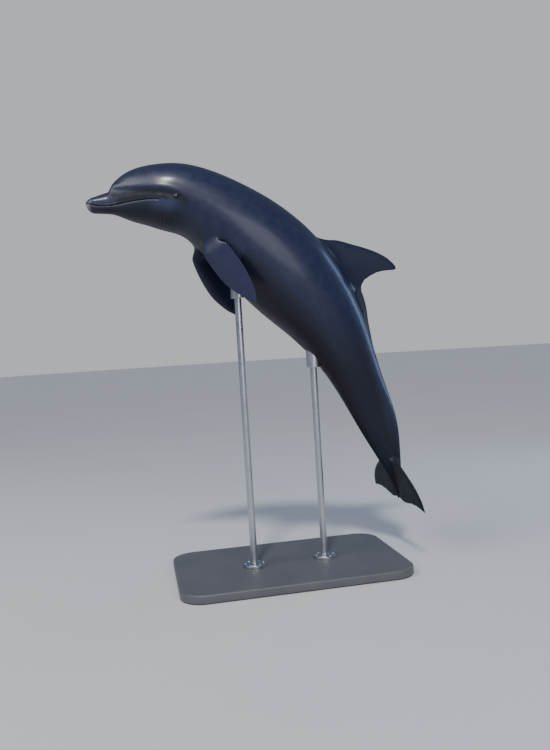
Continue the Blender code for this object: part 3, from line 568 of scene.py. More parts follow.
def mouth_corner():
    """The crescent fold that rounds off the corner of the mouth."""
    height = np.zeros_like(net_u)
    for side in (1, -1):
        x, y, z, _ = local(GAPE - 0.005, float(natural_spline(GAPE - 0.005, MOUTH_LINE)), side)
        away = np.hypot(x, y)
        arc = np.clip(x / np.maximum(away, 1e-6), 0, 1) ** 1.5
        near = (np.abs(z) < 0.03) & (net_side * side > 0)
        for (ring, size, width), way in ((CORNER_RING, -1), (CORNER_RISE, 1)):
            height += way * np.where(near, size * bell(away - ring, width) * arc, 0)
    return height


def melon_crease():
    """The broad shallow groove from the foot of the melon back to the eye."""
    off = np.radians(net_angle - along_path(ring_u, CREASE_PATH)[:, None]) * radius
    fade = smooth_step((net_u - 0.045) / 0.012) * smooth_step((0.196 - net_u) / 0.030)
    depth, width = CREASE_GROOVE
    rise, above, soft = CREASE_BROW
    return fade * (rise * bell(off + above, soft) - depth * bell(off, width))


def throat():
    """Shallow folds across the throat, where the head bends up."""
    around = smooth_step((net_angle - 118) / 40)
    wave = 0.0012 * np.sin(np.radians(net_angle) * 5)
    return -around * sum(d * bell(net_u - u - wave, 0.0011 + 0.0004 * (u > 0.15)) for u, d in THROAT_FOLDS)


relief = mouth() + mouth_corner() + melon_crease() + throat()
print("deepest fold, mm:", round(-1000 * relief.min(), 1))

# %% Blowhole, ears, hair pits and belly slits
BLOWHOLE = (0.170, 0.020, 0.010)        # station, half width, how far the horns lead
EAR = (0.200, 106)
HAIR_PITS = (0.024, 0.031, 0.038, 0.046, 0.055, 0.065, 0.076)
BLOWHOLE_SLIT = (0.0060, 0.0021)        # depth and width
BLOWHOLE_LIP = (0.0020, 0.007, 0.0045)  # height, distance behind the slit and width
BLOWHOLE_DENT = (0.0018, 0.030)         # depth and width of the hollow that it lies in
EAR_PIT = (0.0024, 0.0022)
HAIR_PIT = (0.0009, 0.0017)
# station, half length and depth of navel, genital slit and vent
SLITS = ((0.468, 0.010, 0.0030), (0.580, 0.048, 0.0050), (0.662, 0.017, 0.0045))
SLIT_WIDTH = 0.0042
SLIT_LIPS = (0.35, 0.011, 0.006)        # height as a share of the depth, distance out and width
print("blowhole, mm:", round(2000 * BLOWHOLE[1]), "wide")

# %% Pressing the blowhole, the pits and the slits


def blowhole():
    """A crescent slit on top of the head, its horns pointing forward, with a raised rear lip."""
    x, y, z, _ = local(BLOWHOLE[0], 0, 1)
    y = y - 0.003
    inside = np.clip(1 - (np.abs(y) / BLOWHOLE[1]) ** 4, 0, 1)
    off = x + BLOWHOLE[2] * (y / BLOWHOLE[1]) ** 2
    close = (np.abs(z) < 0.05) & (np.abs(x) < 0.06) & (np.abs(y) < BLOWHOLE[1])
    depth, width = BLOWHOLE_SLIT
    rise, behind, soft = BLOWHOLE_LIP
    slit = rise * bell(off - behind, soft) - depth * np.exp(-(np.abs(off) / width) ** 1.5)
    slit = np.where(close, inside * slit, 0)
    depth, width = BLOWHOLE_DENT
    return slit - np.where(np.abs(z) < 0.05, depth * bell(np.hypot(x - 0.002, y), width), 0)


def pits():
    """The ear's pin hole behind each eye, and the hair pits along the upper lip."""
    height = np.zeros_like(net_u)
    for side in (1, -1):
        places = [(EAR, EAR_PIT)] + [((u, 86 + 4 * (k % 2)), HAIR_PIT) for k, u in enumerate(HAIR_PITS)]
        for place, (depth, width) in places:
            x, y, z, _ = local(*place, side)
            height -= np.where(np.abs(z) < 5 * width, depth * bell(np.hypot(x, y), width), 0)
    return height


def slits():
    """Navel, genital slit and vent along the middle of the belly."""
    across = np.radians(np.abs(180 - net_angle)) * radius
    height = np.zeros_like(net_u)
    for u, half, depth in SLITS:
        along = np.abs((net_u - u) * LENGTH) / half
        open_part = np.clip(1 - along ** 2, 0, 1) ** 0.5
        height -= depth * open_part * np.exp(-(across / SLIT_WIDTH) ** 1.5)
        rise, off, soft = SLIT_LIPS
        height += rise * depth * open_part * bell(across - off, soft)
    return height


relief = relief + blowhole() + pits() + slits()
net = net + relief[..., None] * net_out
print("relief, mm:", (1000 * relief.min()).round(1), "to", (1000 * relief.max()).round(1))

# %% [markdown]
# ## Lids
# A bottlenose's eye sits low, just behind the corner of the mouth, under thick lids. The skin round it is
# lifted over the ball and turned in at an almond rim, with two fine folds round it, the inner one deepest
# over the eye. Points near the rim are first drawn towards it, so that the edge of the lid is a clean line
# and not a stair of the net.

# %% Eye opening and lids
EYE_STATION = 0.172
EYE_ANGLE = 100
EYE_RADIUS = 0.018
EYE_SINK = 0.0145       # how deep the middle of the ball lies under the skin
EYE_PATCH = (0.045, 0.03)               # how far along and out of the skin the eye's lids can reach
EYE_TILT = math.radians(-7)
ALMOND = (0.0128, 0.0070)               # half length and half height of the opening
ALMOND_POWER = 1.7      # 2 is an ellipse, less has sharper corners
DRAW = 0.35             # share of the opening's size over which points are drawn to its rim
DRAW_POWER = 1.8        # how sharply they crowd there
LID = 0.0016            # thickness of the lids' rim
LID_DROP = 0.0012       # how far the ball's surface may lie under the skin beside it
LID_TURN = 0.004        # height over which the lower lid passes into the upper one
LID_REACH = 0.017       # how far the lids run out into the skin
# distance outside the rim, width, and depth of each fold below and above the eye
LID_FOLDS = ((0.0075, 0.0020, 0.0005, 0.0011), (0.0130, 0.0026, 0.0004, 0.0004))
UNDERCUT = (0.0035, 0.0012)             # how far the skin dips behind the rim, and over what width
print("opening of an eye, mm:", round(2000 * ALMOND[0]), "by", round(2000 * ALMOND[1]))

# %% Laying the lids over the eyes


def lidded(points, side):
    """The net with one eye's lids, and the distance of its points outside the rim of the opening."""
    x, y, z, (back, upward, normal) = local(EYE_STATION, EYE_ANGLE, side, EYE_TILT)
    a, b = ALMOND
    near = (net_side * side > 0) & (np.hypot(x, y) < EYE_PATCH[0]) & (np.abs(z) < EYE_PATCH[1])
    shape = (np.abs(x / a) ** ALMOND_POWER + np.abs(y / b) ** ALMOND_POWER) ** (1 / ALMOND_POWER)
    shape = np.maximum(shape, 1e-6)
    off = np.clip(shape - 1, -DRAW, DRAW)
    drawn = 1 + np.sign(off) * DRAW * (np.abs(off) / DRAW) ** DRAW_POWER
    drawn = np.where(np.abs(shape - 1) < DRAW, drawn, shape)
    x, y = x * drawn / shape, y * drawn / shape
    away = (drawn - 1) * np.hypot(x, y) / drawn
    ball = np.sqrt(np.maximum(EYE_RADIUS ** 2 - x ** 2 - y ** 2, 0)) - EYE_SINK
    ball = np.maximum(ball, z - LID_DROP)
    rim = ball + LID * np.sqrt(np.clip(away / LID, 0, 1))
    close = smooth_step(1 - away / LID_REACH)
    lid = z + (rim - z) * close
    upper = smooth_step(y / LID_TURN + 0.5)
    around = 0.30 + 0.70 * np.cos(np.arctan2(y, x) / 2 - 1.0) ** 2
    for off, width, below, above in LID_FOLDS:
        lid = lid - (below + (above - below) * upper) * around * bell(away - off, width)
    dip, soft = UNDERCUT
    height = np.where(away < 0, ball - dip * smooth_step(-away / soft), lid)
    point = skin_point(EYE_STATION, EYE_ANGLE, side)[0]
    moved = point + x[..., None] * back + y[..., None] * upward + height[..., None] * normal
    return np.where(near[..., None], moved, points), np.where(near, away, 1.0)


net, lid_left = lidded(net, 1)
net, lid_right = lidded(net, -1)
print("points inside the two openings:", int((lid_left < 0).sum() + (lid_right < 0).sum()))

# %% Putting a mesh into the scene


def mesh_object(name, points, faces):
    """A new object of the scene from points and faces."""
    mesh = bpy.data.meshes.new(name)
    mesh.from_pydata([tuple(p) for p in points], [], [tuple(f) for f in faces])
    mesh.validate()
    obj = bpy.data.objects.new(name, mesh)
    bpy.context.scene.collection.objects.link(obj)
    return obj


print("faces of the skin's net:", (net.shape[0] - 1) * net.shape[1])

# %% The skin as a mesh


def loft(name, rings, first=None, last=None):
    """A closed loft of rings. Each end closes in a point if one is given, and else in a flat face."""
    rows, columns = rings.shape[:2]
    grid = np.arange(rows * columns).reshape(rows, columns)
    ahead, beside = grid[:-1], np.roll(grid, -1, axis=1)[:-1]
    faces = np.stack([ahead, grid[1:], np.roll(grid, -1, axis=1)[1:], beside], -1).reshape(-1, 4).tolist()
    points = rings.reshape(-1, 3).tolist()
    for row, end, turned in ((grid[0], first, 1), (grid[-1], last, -1)):
        if end is None:
            faces.append(row[::turned].tolist())
            continue
        points.append(list(end))
        for k in range(columns):
            faces.append([row[k], row[k - 1], len(points) - 1][::-turned])
    obj = mesh_object(name, points, faces)
    bm = bmesh.new()
    bm.from_mesh(obj.data)
    if bm.calc_volume(signed=True) < 0:
        bmesh.ops.reverse_faces(bm, faces=bm.faces)
    print(name, "volume, litres:", round(1000 * bm.calc_volume(signed=True), 2))
    bm.to_mesh(obj.data)
    bm.free()
    return obj


nose_tip = body_points(np.array([0.0]), np.zeros((1, 1)), 1)[0, 0]
skin = loft("skin", net, nose_tip, axis_at(1.0)[0])
print("skin faces:", len(skin.data.polygons))

# %% [markdown]
# ## Flippers
# A flipper is an arm: its bones hang in the chest, and the skin wraps the joint in a soft hollow. So each
# one is a loft of its own that starts inside the chest and is joined to the skin by a Boolean. The sharp
# seam that this leaves is then relaxed, as wet clay is smoothed with a thumb, until it is a soft fillet.
# The fillet eats into the root, so the outline is drawn a little fuller there. The same thumb eases the
# front of the back fin into the back.

# %% Sections of a flipper
FLIPPER_ROOT = ((0.238, 140), (0.284, 127))     # station and angle of the root's front and rear
FLIPPER_LEAD = (
    (0.052, -0.049), (0.104, -0.062), (0.166, -0.069), (0.250, -0.071), (0.312, -0.064), (0.364, -0.048),
    (0.416, -0.026), (0.453, -0.002),
)
FLIPPER_TRAIL = (
    (0.140, 0.068), (0.208, 0.070), (0.281, 0.065), (0.343, 0.052), (0.400, 0.033), (0.437, 0.013),
    (0.453, -0.002),
)
# how each is held, left 1 and right -1, in degrees: swept below the axis, spread from the flank, tilted out
FLIPPER_HOLD = {1: (26, 12, 38), -1: (29, 16, 8)}
FLIPPER_SHAPE = (0.17, 0.50, 0.09, 0.0, 0.0, 0.16)
FLIPPER_START = -0.040  # how far inside the chest it starts
FLIPPER_BEND = (0.13, 0.060)            # span over which it bends into the chest, and how deep
FLIPPER_ROWS = 64
FLIPPER_POINTS = 60     # round each row
print("reach of a flipper, mm:", round(1000 * FLIPPER_LEAD[-1][0]))

# %% Lofting a flipper


def flipper(side):
    """The plane and outline of a flipper, swept back along the chest."""
    root = [body_points(np.array([u]), np.radians([[a]]), side)[0, 0] for u, a in FLIPPER_ROOT]
    _, along, left, dorsal = axis_at((FLIPPER_ROOT[0][0] + FLIPPER_ROOT[1][0]) / 2)
    sweep, spread, tilt = (math.radians(angle) for angle in FLIPPER_HOLD[side])
    back = along * math.cos(sweep) - dorsal * math.sin(sweep)
    rise = along * math.sin(sweep) + dorsal * math.cos(sweep)
    span = back * math.cos(spread) + side * left * math.sin(spread)
    out = side * left * math.cos(spread) - back * math.sin(spread)
    chord = rise * math.cos(tilt) + out * math.sin(tilt)
    return Fin(root[0], span, chord, root, (FLIPPER_LEAD, FLIPPER_TRAIL), FLIPPER_SHAPE)


def flipper_loft(name, side):
    """A closed flipper, from inside the body to its tip."""
    fin = flipper(side)
    outward = np.sign(fin.normal @ axis_at(FLIPPER_ROOT[0][0])[2]) * side * fin.normal
    tip = fin.front[0][-1]
    steps = np.sin(math.pi / 2 * np.arange(FLIPPER_ROWS) / FLIPPER_ROWS)
    span = FLIPPER_START + (tip - FLIPPER_START) * steps
    front, rear = np.interp(span, *fin.front)[:, None], np.interp(span, *fin.rear)[:, None]
    turned = 2 * math.pi * np.arange(FLIPPER_POINTS) / FLIPPER_POINTS
    share = (1 - np.cos(turned)) / 2
    half = fin.thickness * (rear - front) * foil(share) + RIM * np.abs(np.sin(turned)) ** 0.25
    reach, depth = FLIPPER_BEND
    sunk = depth * np.clip(1 - span / reach, 0, None)[:, None] ** 2
    off = np.sign(np.sin(turned)) * half - sunk
    back = front + (rear - front) * share
    points = fin.origin + span[:, None, None] * fin.span + back[..., None] * fin.chord
    end = fin.origin + tip * fin.span + fin.lead[-1][1] * fin.chord
    return loft(name, points + off[..., None] * outward, None, end)


def skin_slots(obj, index):
    """Give an object two empty slots and all its faces one of them."""
    for _ in range(2):
        obj.data.materials.append(None)
    obj.data.polygons.foreach_set("material_index", np.full(len(obj.data.polygons), index, np.int32))


arms = [flipper_loft("flipper_" + name, side) for name, side in (("left", 1), ("right", -1))]
print("flippers:", len(arms), "of", [len(arm.data.polygons) for arm in arms], "faces")

# %% Sizes of the seam's fillet
SEAM_REACH = 0.068      # how far the relaxed fillet runs from the seam
SEAM_ROUNDS = 320
SEAM_EDGES = (0.010, 0.006)             # longest edges left near the seam after each round of splitting
WELD = 0.0006           # points closer than this are made one
FRONT_REACH = 0.075     # how far round the front of the back fin the skin is eased
FRONT_ROUNDS = 24
GIVE = 0.6              # share of the way to its neighbours' middle that a point moves in a round
print("rounds of smoothing, seam and back fin:", SEAM_ROUNDS, FRONT_ROUNDS)

# %% Joining the flippers by a Boolean


def joined(body, limbs):
    """The body's mesh with the limbs joined to it. Its faces keep slot 0, those of the limbs slot 1."""
    for limb in limbs:
        step = body.modifiers.new("join " + limb.name, "BOOLEAN")
        step.operation = "UNION"
        step.solver = "EXACT"
        step.object = limb
    graph = bpy.context.evaluated_depsgraph_get()
    mesh = bpy.data.meshes.new_from_object(body.evaluated_get(graph))
    for limb in limbs:
        bpy.data.objects.remove(limb, do_unlink=True)
    body.modifiers.clear()
    return mesh

# %% Relaxing the seam


def seam_tree(bm):
    """A search tree of the points where limb and body meet."""
    seam = [v for v in bm.verts if len({f.material_index for f in v.link_faces}) > 1]
    tree = KDTree(len(seam))
    for k, vert in enumerate(seam):
        tree.insert(vert.co, k)
    tree.balance()
    return tree, len(seam)


def soften(bm, near, away, rounds):
    """Smooth the points near a place, fully there (away 0) and less and less up to away 1."""
    places = np.array([v.co for v in bm.verts])
    hold = smooth_step(1 - np.array(away))[:, None]
    links = [[e.other_vert(v).index for e in v.link_edges] for v in near]
    most = max(map(len, links))
    share = np.array([[1 / len(link)] * len(link) + [0] * (most - len(link)) for link in links])[..., None]
    links = np.array([link + [0] * (most - len(link)) for link in links])
    index = np.array([v.index for v in near])
    for _ in range(rounds):
        mean = (places[links] * share).sum(axis=1)
        places[index] += GIVE * hold * (mean - places[index])
    for vert, place in zip(bm.verts, places):
        vert.co = place


def split_long_edges(bm, tree, longest):
    """Halve the edges near the seam that are longer than a given length."""
    near = {v for v in bm.verts if tree.find(v.co)[2] < SEAM_REACH * 1.25}
    inside = [e for e in bm.edges if e.verts[0] in near and e.verts[1] in near]
    long = [e for e in inside if e.calc_length() > longest]
    bmesh.ops.subdivide_edges(bm, edges=long, cuts=1, use_grid_fill=True)


def relaxed(mesh):
    """Split the long edges near the seam, then smooth there into a soft fillet."""
    bm = bmesh.new()
    bm.from_mesh(mesh)
    tree, count = seam_tree(bm)
    for longest in SEAM_EDGES:
        split_long_edges(bm, tree, longest)
    bmesh.ops.triangulate(bm, faces=[f for f in bm.faces if len(f.verts) > 4])
    near = [v for v in bm.verts if tree.find(v.co)[2] < SEAM_REACH]
    bmesh.ops.remove_doubles(bm, verts=near, dist=WELD)
    bm.verts.index_update()
    near = [v for v in bm.verts if tree.find(v.co)[2] < SEAM_REACH]
    soften(bm, near, [tree.find(v.co)[2] / SEAM_REACH for v in near], SEAM_ROUNDS)
    foot = Vector(body_points(np.array([DORSAL_FOOT]), np.zeros((1, 1)), 1)[0, 0])
    front = [v for v in bm.verts if (v.co - foot).length < FRONT_REACH]
    soften(bm, front, [(v.co - foot).length / FRONT_REACH for v in front], FRONT_ROUNDS)
    print("points eased at the back fin's front:", len(front))
    for face in bm.faces:
        face.material_index = 0
    bm.normal_update()
    bm.to_mesh(mesh)
    print("seam points:", count, "relaxed points:", len(near))
    print("open edges:", sum(not e.is_manifold for e in bm.edges))
    bm.free()
    return mesh


skin_slots(skin, 0)
for arm in arms:
    skin_slots(arm, 1)
skin.data = relaxed(joined(skin, arms))
skin.data.materials.clear()
skin.data.shade_smooth()
print("skin with flippers:", len(skin.data.polygons), "faces")

# %% [markdown]
# ## Markings
# A bottlenose is dark on its back and paler down the flanks. A leaping one is seen against the sky, so this
# cast is painted with the shade that it has there: near black underneath, darker round the rear and on the
# tail, and on the shaded flipper. The tip of the beak is paler. A thin painted highlight runs along the lower
# lip and a painted sheen lies on the cheek. A dark band of painted shade runs from the crease of the melon
# over the upper lip to the eye, where it meets darker skin round the eye, behind it and round the blowhole,
# and the inside of the mouth's cut is painted with shade. A painter of casts airbrushes such fields by the
# animal's own landmarks. We do the same with numbers: every point of the skin learns its station and its
# angle about the backbone, and soft fields made from those are stored on the mesh for the material to read.

# %% Where each point of the skin lies on the body
AXIS_SKIP = 4           # every fourth step of the axis is near enough here


def read_points(mesh, what="co"):
    """A row of three numbers for each point of a mesh."""
    rows = np.empty(len(mesh.vertices) * 3)
    mesh.vertices.foreach_get(what, rows)
    return rows.reshape(-1, 3)


def on_body(places):
    """Station, angle in degrees from the crest, and distance from the axis of places in space."""
    stations = AXIS[0][::AXIS_SKIP]
    tree = KDTree(len(stations))
    for k, place in enumerate(AXIS[1][::AXIS_SKIP]):
        tree.insert(place, k)
    tree.balance()
    u = stations[[tree.find(place)[1] for place in places]]
    place, _, left, dorsal = axis_at(u)
    away = places - place
    side, rise = np.sum(away * left, axis=1), np.sum(away * dorsal, axis=1) - section(u)[5]
    return u, np.degrees(np.arctan2(np.abs(side), rise)), np.linalg.norm(away, axis=1)


skin_points = read_points(skin.data)
skin_normals = read_points(skin.data, "normal")
spot_u, spot_angle, spot_far = on_body(skin_points)
print("stations of the skin:", spot_u.min().round(3), "to", spot_u.max().round(3))

# %% Helpers for soft fields


def span_of(x, low, high, soft):
    """A field that is 1 from low to high and eases to 0 over soft on either side."""
    return smooth_step((x - low) / soft + 1) * smooth_step((high - x) / soft + 1)


def near_place(u, angle, side, size):
    """A round soft field about one place of the skin."""
    point = skin_point(u, angle, side)[0]
    return bell(np.linalg.norm(skin_points - point, axis=1), size)


def on_flipper(side):
    """1 on a flipper, easing to 0 into the body."""
    fin = flipper(side)
    span, chord = fin.flat(skin_points)
    off = (skin_points - fin.origin) @ fin.normal
    flat = (chord > -0.09) & (chord < 0.12) & (np.abs(off) < 0.05)
    body_radius = np.interp(spot_u, ring_u, radius.max(axis=1))
    beyond = smooth_step((spot_far - body_radius + 0.01) / 0.05)
    return np.where(flat & (span > 0.02), np.maximum(smooth_step((span - 0.10) / 0.08), beyond), 0)


def both_sides(u, angle, size):
    """A round soft field about one place of either side."""
    return near_place(u, angle, 1, size) + near_place(u, angle, -1, size)


def below_path(path):
    """Metres by which the skin's points lie below a path along the head."""
    return np.radians(spot_angle - along_path(spot_u, path)) * spot_far


def strongest(*fields):
    """The strongest of several fields at every point."""
    return np.maximum.reduce(fields)


flipper_field = strongest(on_flipper(1), on_flipper(-1))
on_trunk = 1 - flipper_field
print("share of the skin's points on the flippers:", flipper_field.mean().round(2))

# %% Belly, cape and shade
tail = smooth_step((spot_u - 0.80) / 0.10)
rear = smooth_step((spot_u - 0.50) / 0.25)

# station, and the angle at which flank and belly meet
FLANK_LINE = ((0, 95), (0.05, 96), (0.12, 104), (0.2, 122), (0.35, 118), (0.55, 112), (0.8, 100), (1, 92))
belly = smooth_step((spot_angle - natural_spline(spot_u, FLANK_LINE) + 16) / 38)
# the pale of the belly fades towards the rear: painted shade
belly = belly * on_trunk * (1 - tail) * (1 - 0.45 * rear)
# the cape is the dark back, and towards the rear and on the tail it is painted shade
cape_and_rear_shade = strongest(
    smooth_step((62 - spot_angle) / 40), 0.8 * rear * smooth_step((150 - spot_angle) / 40), 0.9 * tail)
cape_and_rear_shade = cape_and_rear_shade * on_trunk
blush = span_of(spot_u, 0.56, 0.80, 0.08) * smooth_step((spot_angle - 118) / 40) * on_trunk

# the deep shade: under the chin and the chest, round the rear of the body, on the tail and the right flipper
chin = smooth_step((0.22 - spot_u) / 0.06) * smooth_step((spot_u - 0.012) / 0.02)
chin = chin * smooth_step((spot_angle - 106) / 24)
low = smooth_step((spot_u - 0.22) / 0.08) * smooth_step((spot_angle - 108) / 34)
shade = strongest(chin, low, rear * smooth_step((spot_angle - 36) / 40), tail) * on_trunk
shade = strongest(shade, 0.75 * on_flipper(-1))

print("mean of belly, cape and shade:", [part.mean().round(2) for part in (belly, cape_and_rear_shade, shade)])

# %% Lips, cheek, dark band and varnish
# the beak's pale tip, a painted highlight along the lower lip, a painted sheen on the cheek, and painted
# shade inside the mouth's cut
mouth_rise = below_path(MOUTH_LINE)
# a thin painted highlight along the edge of the lower lip, then the beak's own pale tip
lips = 0.14 * span_of(spot_u, -1, GAPE - 0.012, 0.02) * bell(mouth_rise - 0.006, 0.006)
lips = strongest(lips, smooth_step((0.011 - spot_u) / 0.010) * smooth_step((spot_angle - 70) / 35))
# a painted sheen on each cheek, below and before the eye
cheek_sheen = both_sides(0.158, 112, 0.042) + 0.6 * both_sides(0.132, 112, 0.034)
# painted shade inside the mouth's cut
groove = bell(mouth_rise, 0.0022) * span_of(spot_u, -1, GAPE - 0.002, 0.006)

# the darker skin round the eyes, round the blowhole and behind the eyes, and the painted shade under the
# melon's bulge, along its crease and over the upper lip
crease_shade = bell(below_path(CREASE_PATH) - 0.004, 0.024) * span_of(spot_u, 0.055, 0.190, 0.020)
upper_lip_shade = smooth_step((mouth_rise + 0.040) / 0.012) * smooth_step((-mouth_rise - 0.001) / 0.008)
upper_lip_shade = upper_lip_shade * span_of(spot_u, 0.066, 0.150, 0.022)
dark_marks_and_shade = strongest(
    both_sides(EYE_STATION, EYE_ANGLE, 0.021), near_place(BLOWHOLE[0], 0, 1, 0.024), crease_shade, upper_lip_shade,
    both_sides(0.190, 103, 0.026),
)

# where the varnish lies wet, and the flat of the flank that other dolphins' teeth reach
wet = smooth_step((skin_normals[:, 2] + 0.55) / 0.9) * (1 - tail) * (1 - 0.9 * np.clip(dark_marks_and_shade, 0, 1))
flat = smooth_step((np.abs(skin_normals[:, 1]) - 0.72) / 0.2) * span_of(spot_angle, 62, 118, 18)
print("mean of the varnish:", wet.mean().round(2))

# %% Storing the fields on the mesh


def store(mesh, name, red, green, blue):
    """Keep three fields of a mesh's points as a colour attribute."""
    layer = mesh.color_attributes.new(name, "FLOAT_COLOR", "POINT")
    rows = np.stack([red, green, blue, np.ones_like(red)], -1)
    layer.data.foreach_set("color", np.clip(rows, 0, 1).ravel())


store(skin.data, "fields", belly, cape_and_rear_shade, blush)
store(skin.data, "patches", lips, cheek_sheen, dark_marks_and_shade)
store(skin.data, "limbs", flipper_field, groove, tail)
store(skin.data, "cover", shade, wet, flat)
print("stored:", [layer.name for layer in skin.data.color_attributes])

# %% [markdown]
# ## Shader groups
# Three effects turn up in more than one finish: soft cloudy variation, fine scratches, and the specks of
# dust or pores. Each is made once as a node group with named sockets and placed wherever it is needed.

# %% Helpers for node trees


def group_tree(name, inputs):
    """A shader group with float inputs, an Object coordinate inside, and one float output."""
    tree = bpy.data.node_groups.new(name, "ShaderNodeTree")
    for label, value in inputs.items():
        socket = tree.interface.new_socket(label, in_out="INPUT", socket_type="NodeSocketFloat")
        socket.default_value = value
    tree.interface.new_socket("Value", in_out="OUTPUT", socket_type="NodeSocketFloat")
    kinds = "NodeGroupInput", "NodeGroupOutput", "ShaderNodeTexCoord"
    return (tree, *(tree.nodes.new(kind) for kind in kinds))


def math_node(tree, operation, first, second=None, clamp=False):
    """A Math node fed by sockets or numbers."""
    node = tree.nodes.new("ShaderNodeMath")
    node.operation = operation
    node.use_clamp = clamp
    for socket, value in zip(node.inputs, (first, second)):
        if value is None:
            continue
        if isinstance(value, (int, float)):
            socket.default_value = value
        else:
            tree.links.new(value, socket)
    return node.outputs[0]


def noise(tree, vector, scale, detail, rough):
    """A Noise texture; scale is a number or a socket."""
    node = tree.nodes.new("ShaderNodeTexNoise")
    tree.links.new(vector, node.inputs["Vector"])
    if isinstance(scale, (int, float)):
        node.inputs["Scale"].default_value = scale
    else:
        tree.links.new(scale, node.inputs["Scale"])
    node.inputs["Detail"].default_value = detail
    node.inputs["Roughness"].default_value = rough
    return node.outputs["Fac"]


def soft_range(tree, value, low, high, out_low=0.0, out_high=1.0):
    """A Map Range node with a smooth ease."""
    node = tree.nodes.new("ShaderNodeMapRange")
    node.interpolation_type = "SMOOTHSTEP"
    tree.links.new(value, node.inputs["Value"])
    for label, number in zip(("From Min", "From Max", "To Min", "To Max"), (low, high, out_low, out_high)):
        node.inputs[label].default_value = number
    return node.outputs["Result"]

# %% Cloud, scratch and speck groups


def cloud_group():
    """Soft cloudy variation between 0 and 1."""
    tree, given, result, place = group_tree("cloudiness", {"Scale": 6.0, "Contrast": 1.0})
    value = noise(tree, place.outputs["Object"], given.outputs["Scale"], 5, 0.6)
    value = math_node(tree, "SUBTRACT", value, 0.5)
    value = math_node(tree, "MULTIPLY", value, given.outputs["Contrast"])
    tree.links.new(math_node(tree, "ADD", value, 0.5, True), result.inputs[0])
    return tree


def scratch_group():
    """Sets of straight, fine, parallel scratches in separate patches, 1 on a scratch."""
    tree, given, result, place = group_tree("scratches", {"Scale": 5.0, "Amount": 0.5})
    total = None
    for rotation, shift in (((0.5, 0.9, 0.35), 0.0), ((1.1, 0.2, 1.3), 7.0)):
        turned = tree.nodes.new("ShaderNodeMapping")
        turned.inputs["Rotation"].default_value = rotation
        turned.inputs["Location"].default_value = (shift, shift, shift)
        tree.links.new(place.outputs["Object"], turned.inputs["Vector"])
        bands = tree.nodes.new("ShaderNodeTexWave")
        bands.inputs["Distortion"].default_value = 1.2
        bands.inputs["Detail"].default_value = 1.0
        bands.inputs["Detail Scale"].default_value = 0.12
        tree.links.new(turned.outputs["Vector"], bands.inputs["Vector"])
        tree.links.new(given.outputs["Scale"], bands.inputs["Scale"])
        line = soft_range(tree, bands.outputs["Fac"], 0.965, 1.0)
        squeezed = tree.nodes.new("ShaderNodeMapping")
        squeezed.inputs["Scale"].default_value = (3.0, 1.0, 1.0)
        tree.links.new(turned.outputs["Vector"], squeezed.inputs["Vector"])
        patch = soft_range(tree, noise(tree, squeezed.outputs["Vector"], 3.0, 2, 0.5), 0.60, 0.68)
        marks = math_node(tree, "MULTIPLY", line, patch)
        total = marks if total is None else math_node(tree, "MAXIMUM", total, marks)
    tree.links.new(math_node(tree, "MULTIPLY", total, given.outputs["Amount"]), result.inputs[0])
    return tree


def speck_group():
    """Small separate spots, 1 in their middle."""
    tree, given, result, place = group_tree("specks", {"Scale": 60.0, "Size": 0.2})
    cell = tree.nodes.new("ShaderNodeTexVoronoi")
    tree.links.new(place.outputs["Object"], cell.inputs["Vector"])
    tree.links.new(given.outputs["Scale"], cell.inputs["Scale"])
    near = math_node(tree, "DIVIDE", cell.outputs["Distance"], given.outputs["Size"])
    near = math_node(tree, "SUBTRACT", 1.0, near, True)
    pick = soft_range(tree, noise(tree, place.outputs["Object"], 23.0, 2, 0.5), 0.52, 0.62)
    tree.links.new(math_node(tree, "MULTIPLY", near, pick), result.inputs[0])
    return tree


CLOUDS, SCRATCHES, SPECKS = cloud_group(), scratch_group(), speck_group()
print("groups:", [tree.name for tree in (CLOUDS, SCRATCHES, SPECKS)])

# %% Helpers for materials


def use_group(tree, group, **values):
    """A placed group with its values; gives its output."""
    node = tree.nodes.new("ShaderNodeGroup")
    node.node_tree = group
    for label, value in values.items():
        node.inputs[label].default_value = value
    return node.outputs[0]


def srgb(red, green, blue):
    """A colour given as a painter's 0 to 255 values, made linear."""
    values = [v / 255 for v in (red, green, blue)]
    return (*(v / 12.92 if v <= 0.04045 else ((v + 0.055) / 1.055) ** 2.4 for v in values), 1.0)


def tint(tree, share, first, second):
    """A colour mixed from two, each a colour or a socket, by a share."""
    node = tree.nodes.new("ShaderNodeMix")
    node.data_type = "RGBA"
    sockets = node.inputs["Factor"], node.inputs[6], node.inputs[7]
    for socket, value in zip(sockets, (share, first, second)):
        if isinstance(value, (int, float, tuple)):
            socket.default_value = value
        else:
            tree.links.new(value, socket)
    return node.outputs[2]


def new_finish(name):
    """A material, its tree and its Principled shader."""
    finish = bpy.data.materials.new(name)
    finish.use_nodes = True
    tree = finish.node_tree
    return finish, tree, tree.nodes["Principled BSDF"]


def bumped(tree, shader, height, strength, distance):
    """Feed a height into the shader's normal."""
    node = tree.nodes.new("ShaderNodeBump")
    node.inputs["Strength"].default_value = strength
    node.inputs["Distance"].default_value = distance
    tree.links.new(height, node.inputs["Height"])
    tree.links.new(node.outputs["Normal"], shader.inputs["Normal"])


def field(tree, name):
    """The red, green and blue fields of a stored colour attribute."""
    source = tree.nodes.new("ShaderNodeAttribute")
    source.attribute_name = name
    parts = tree.nodes.new("ShaderNodeSeparateColor")
    tree.links.new(source.outputs["Color"], parts.inputs["Color"])
    return [parts.outputs[k] for k in range(3)]


print("middle grey, made linear:", round(srgb(128, 128, 128)[0], 3))

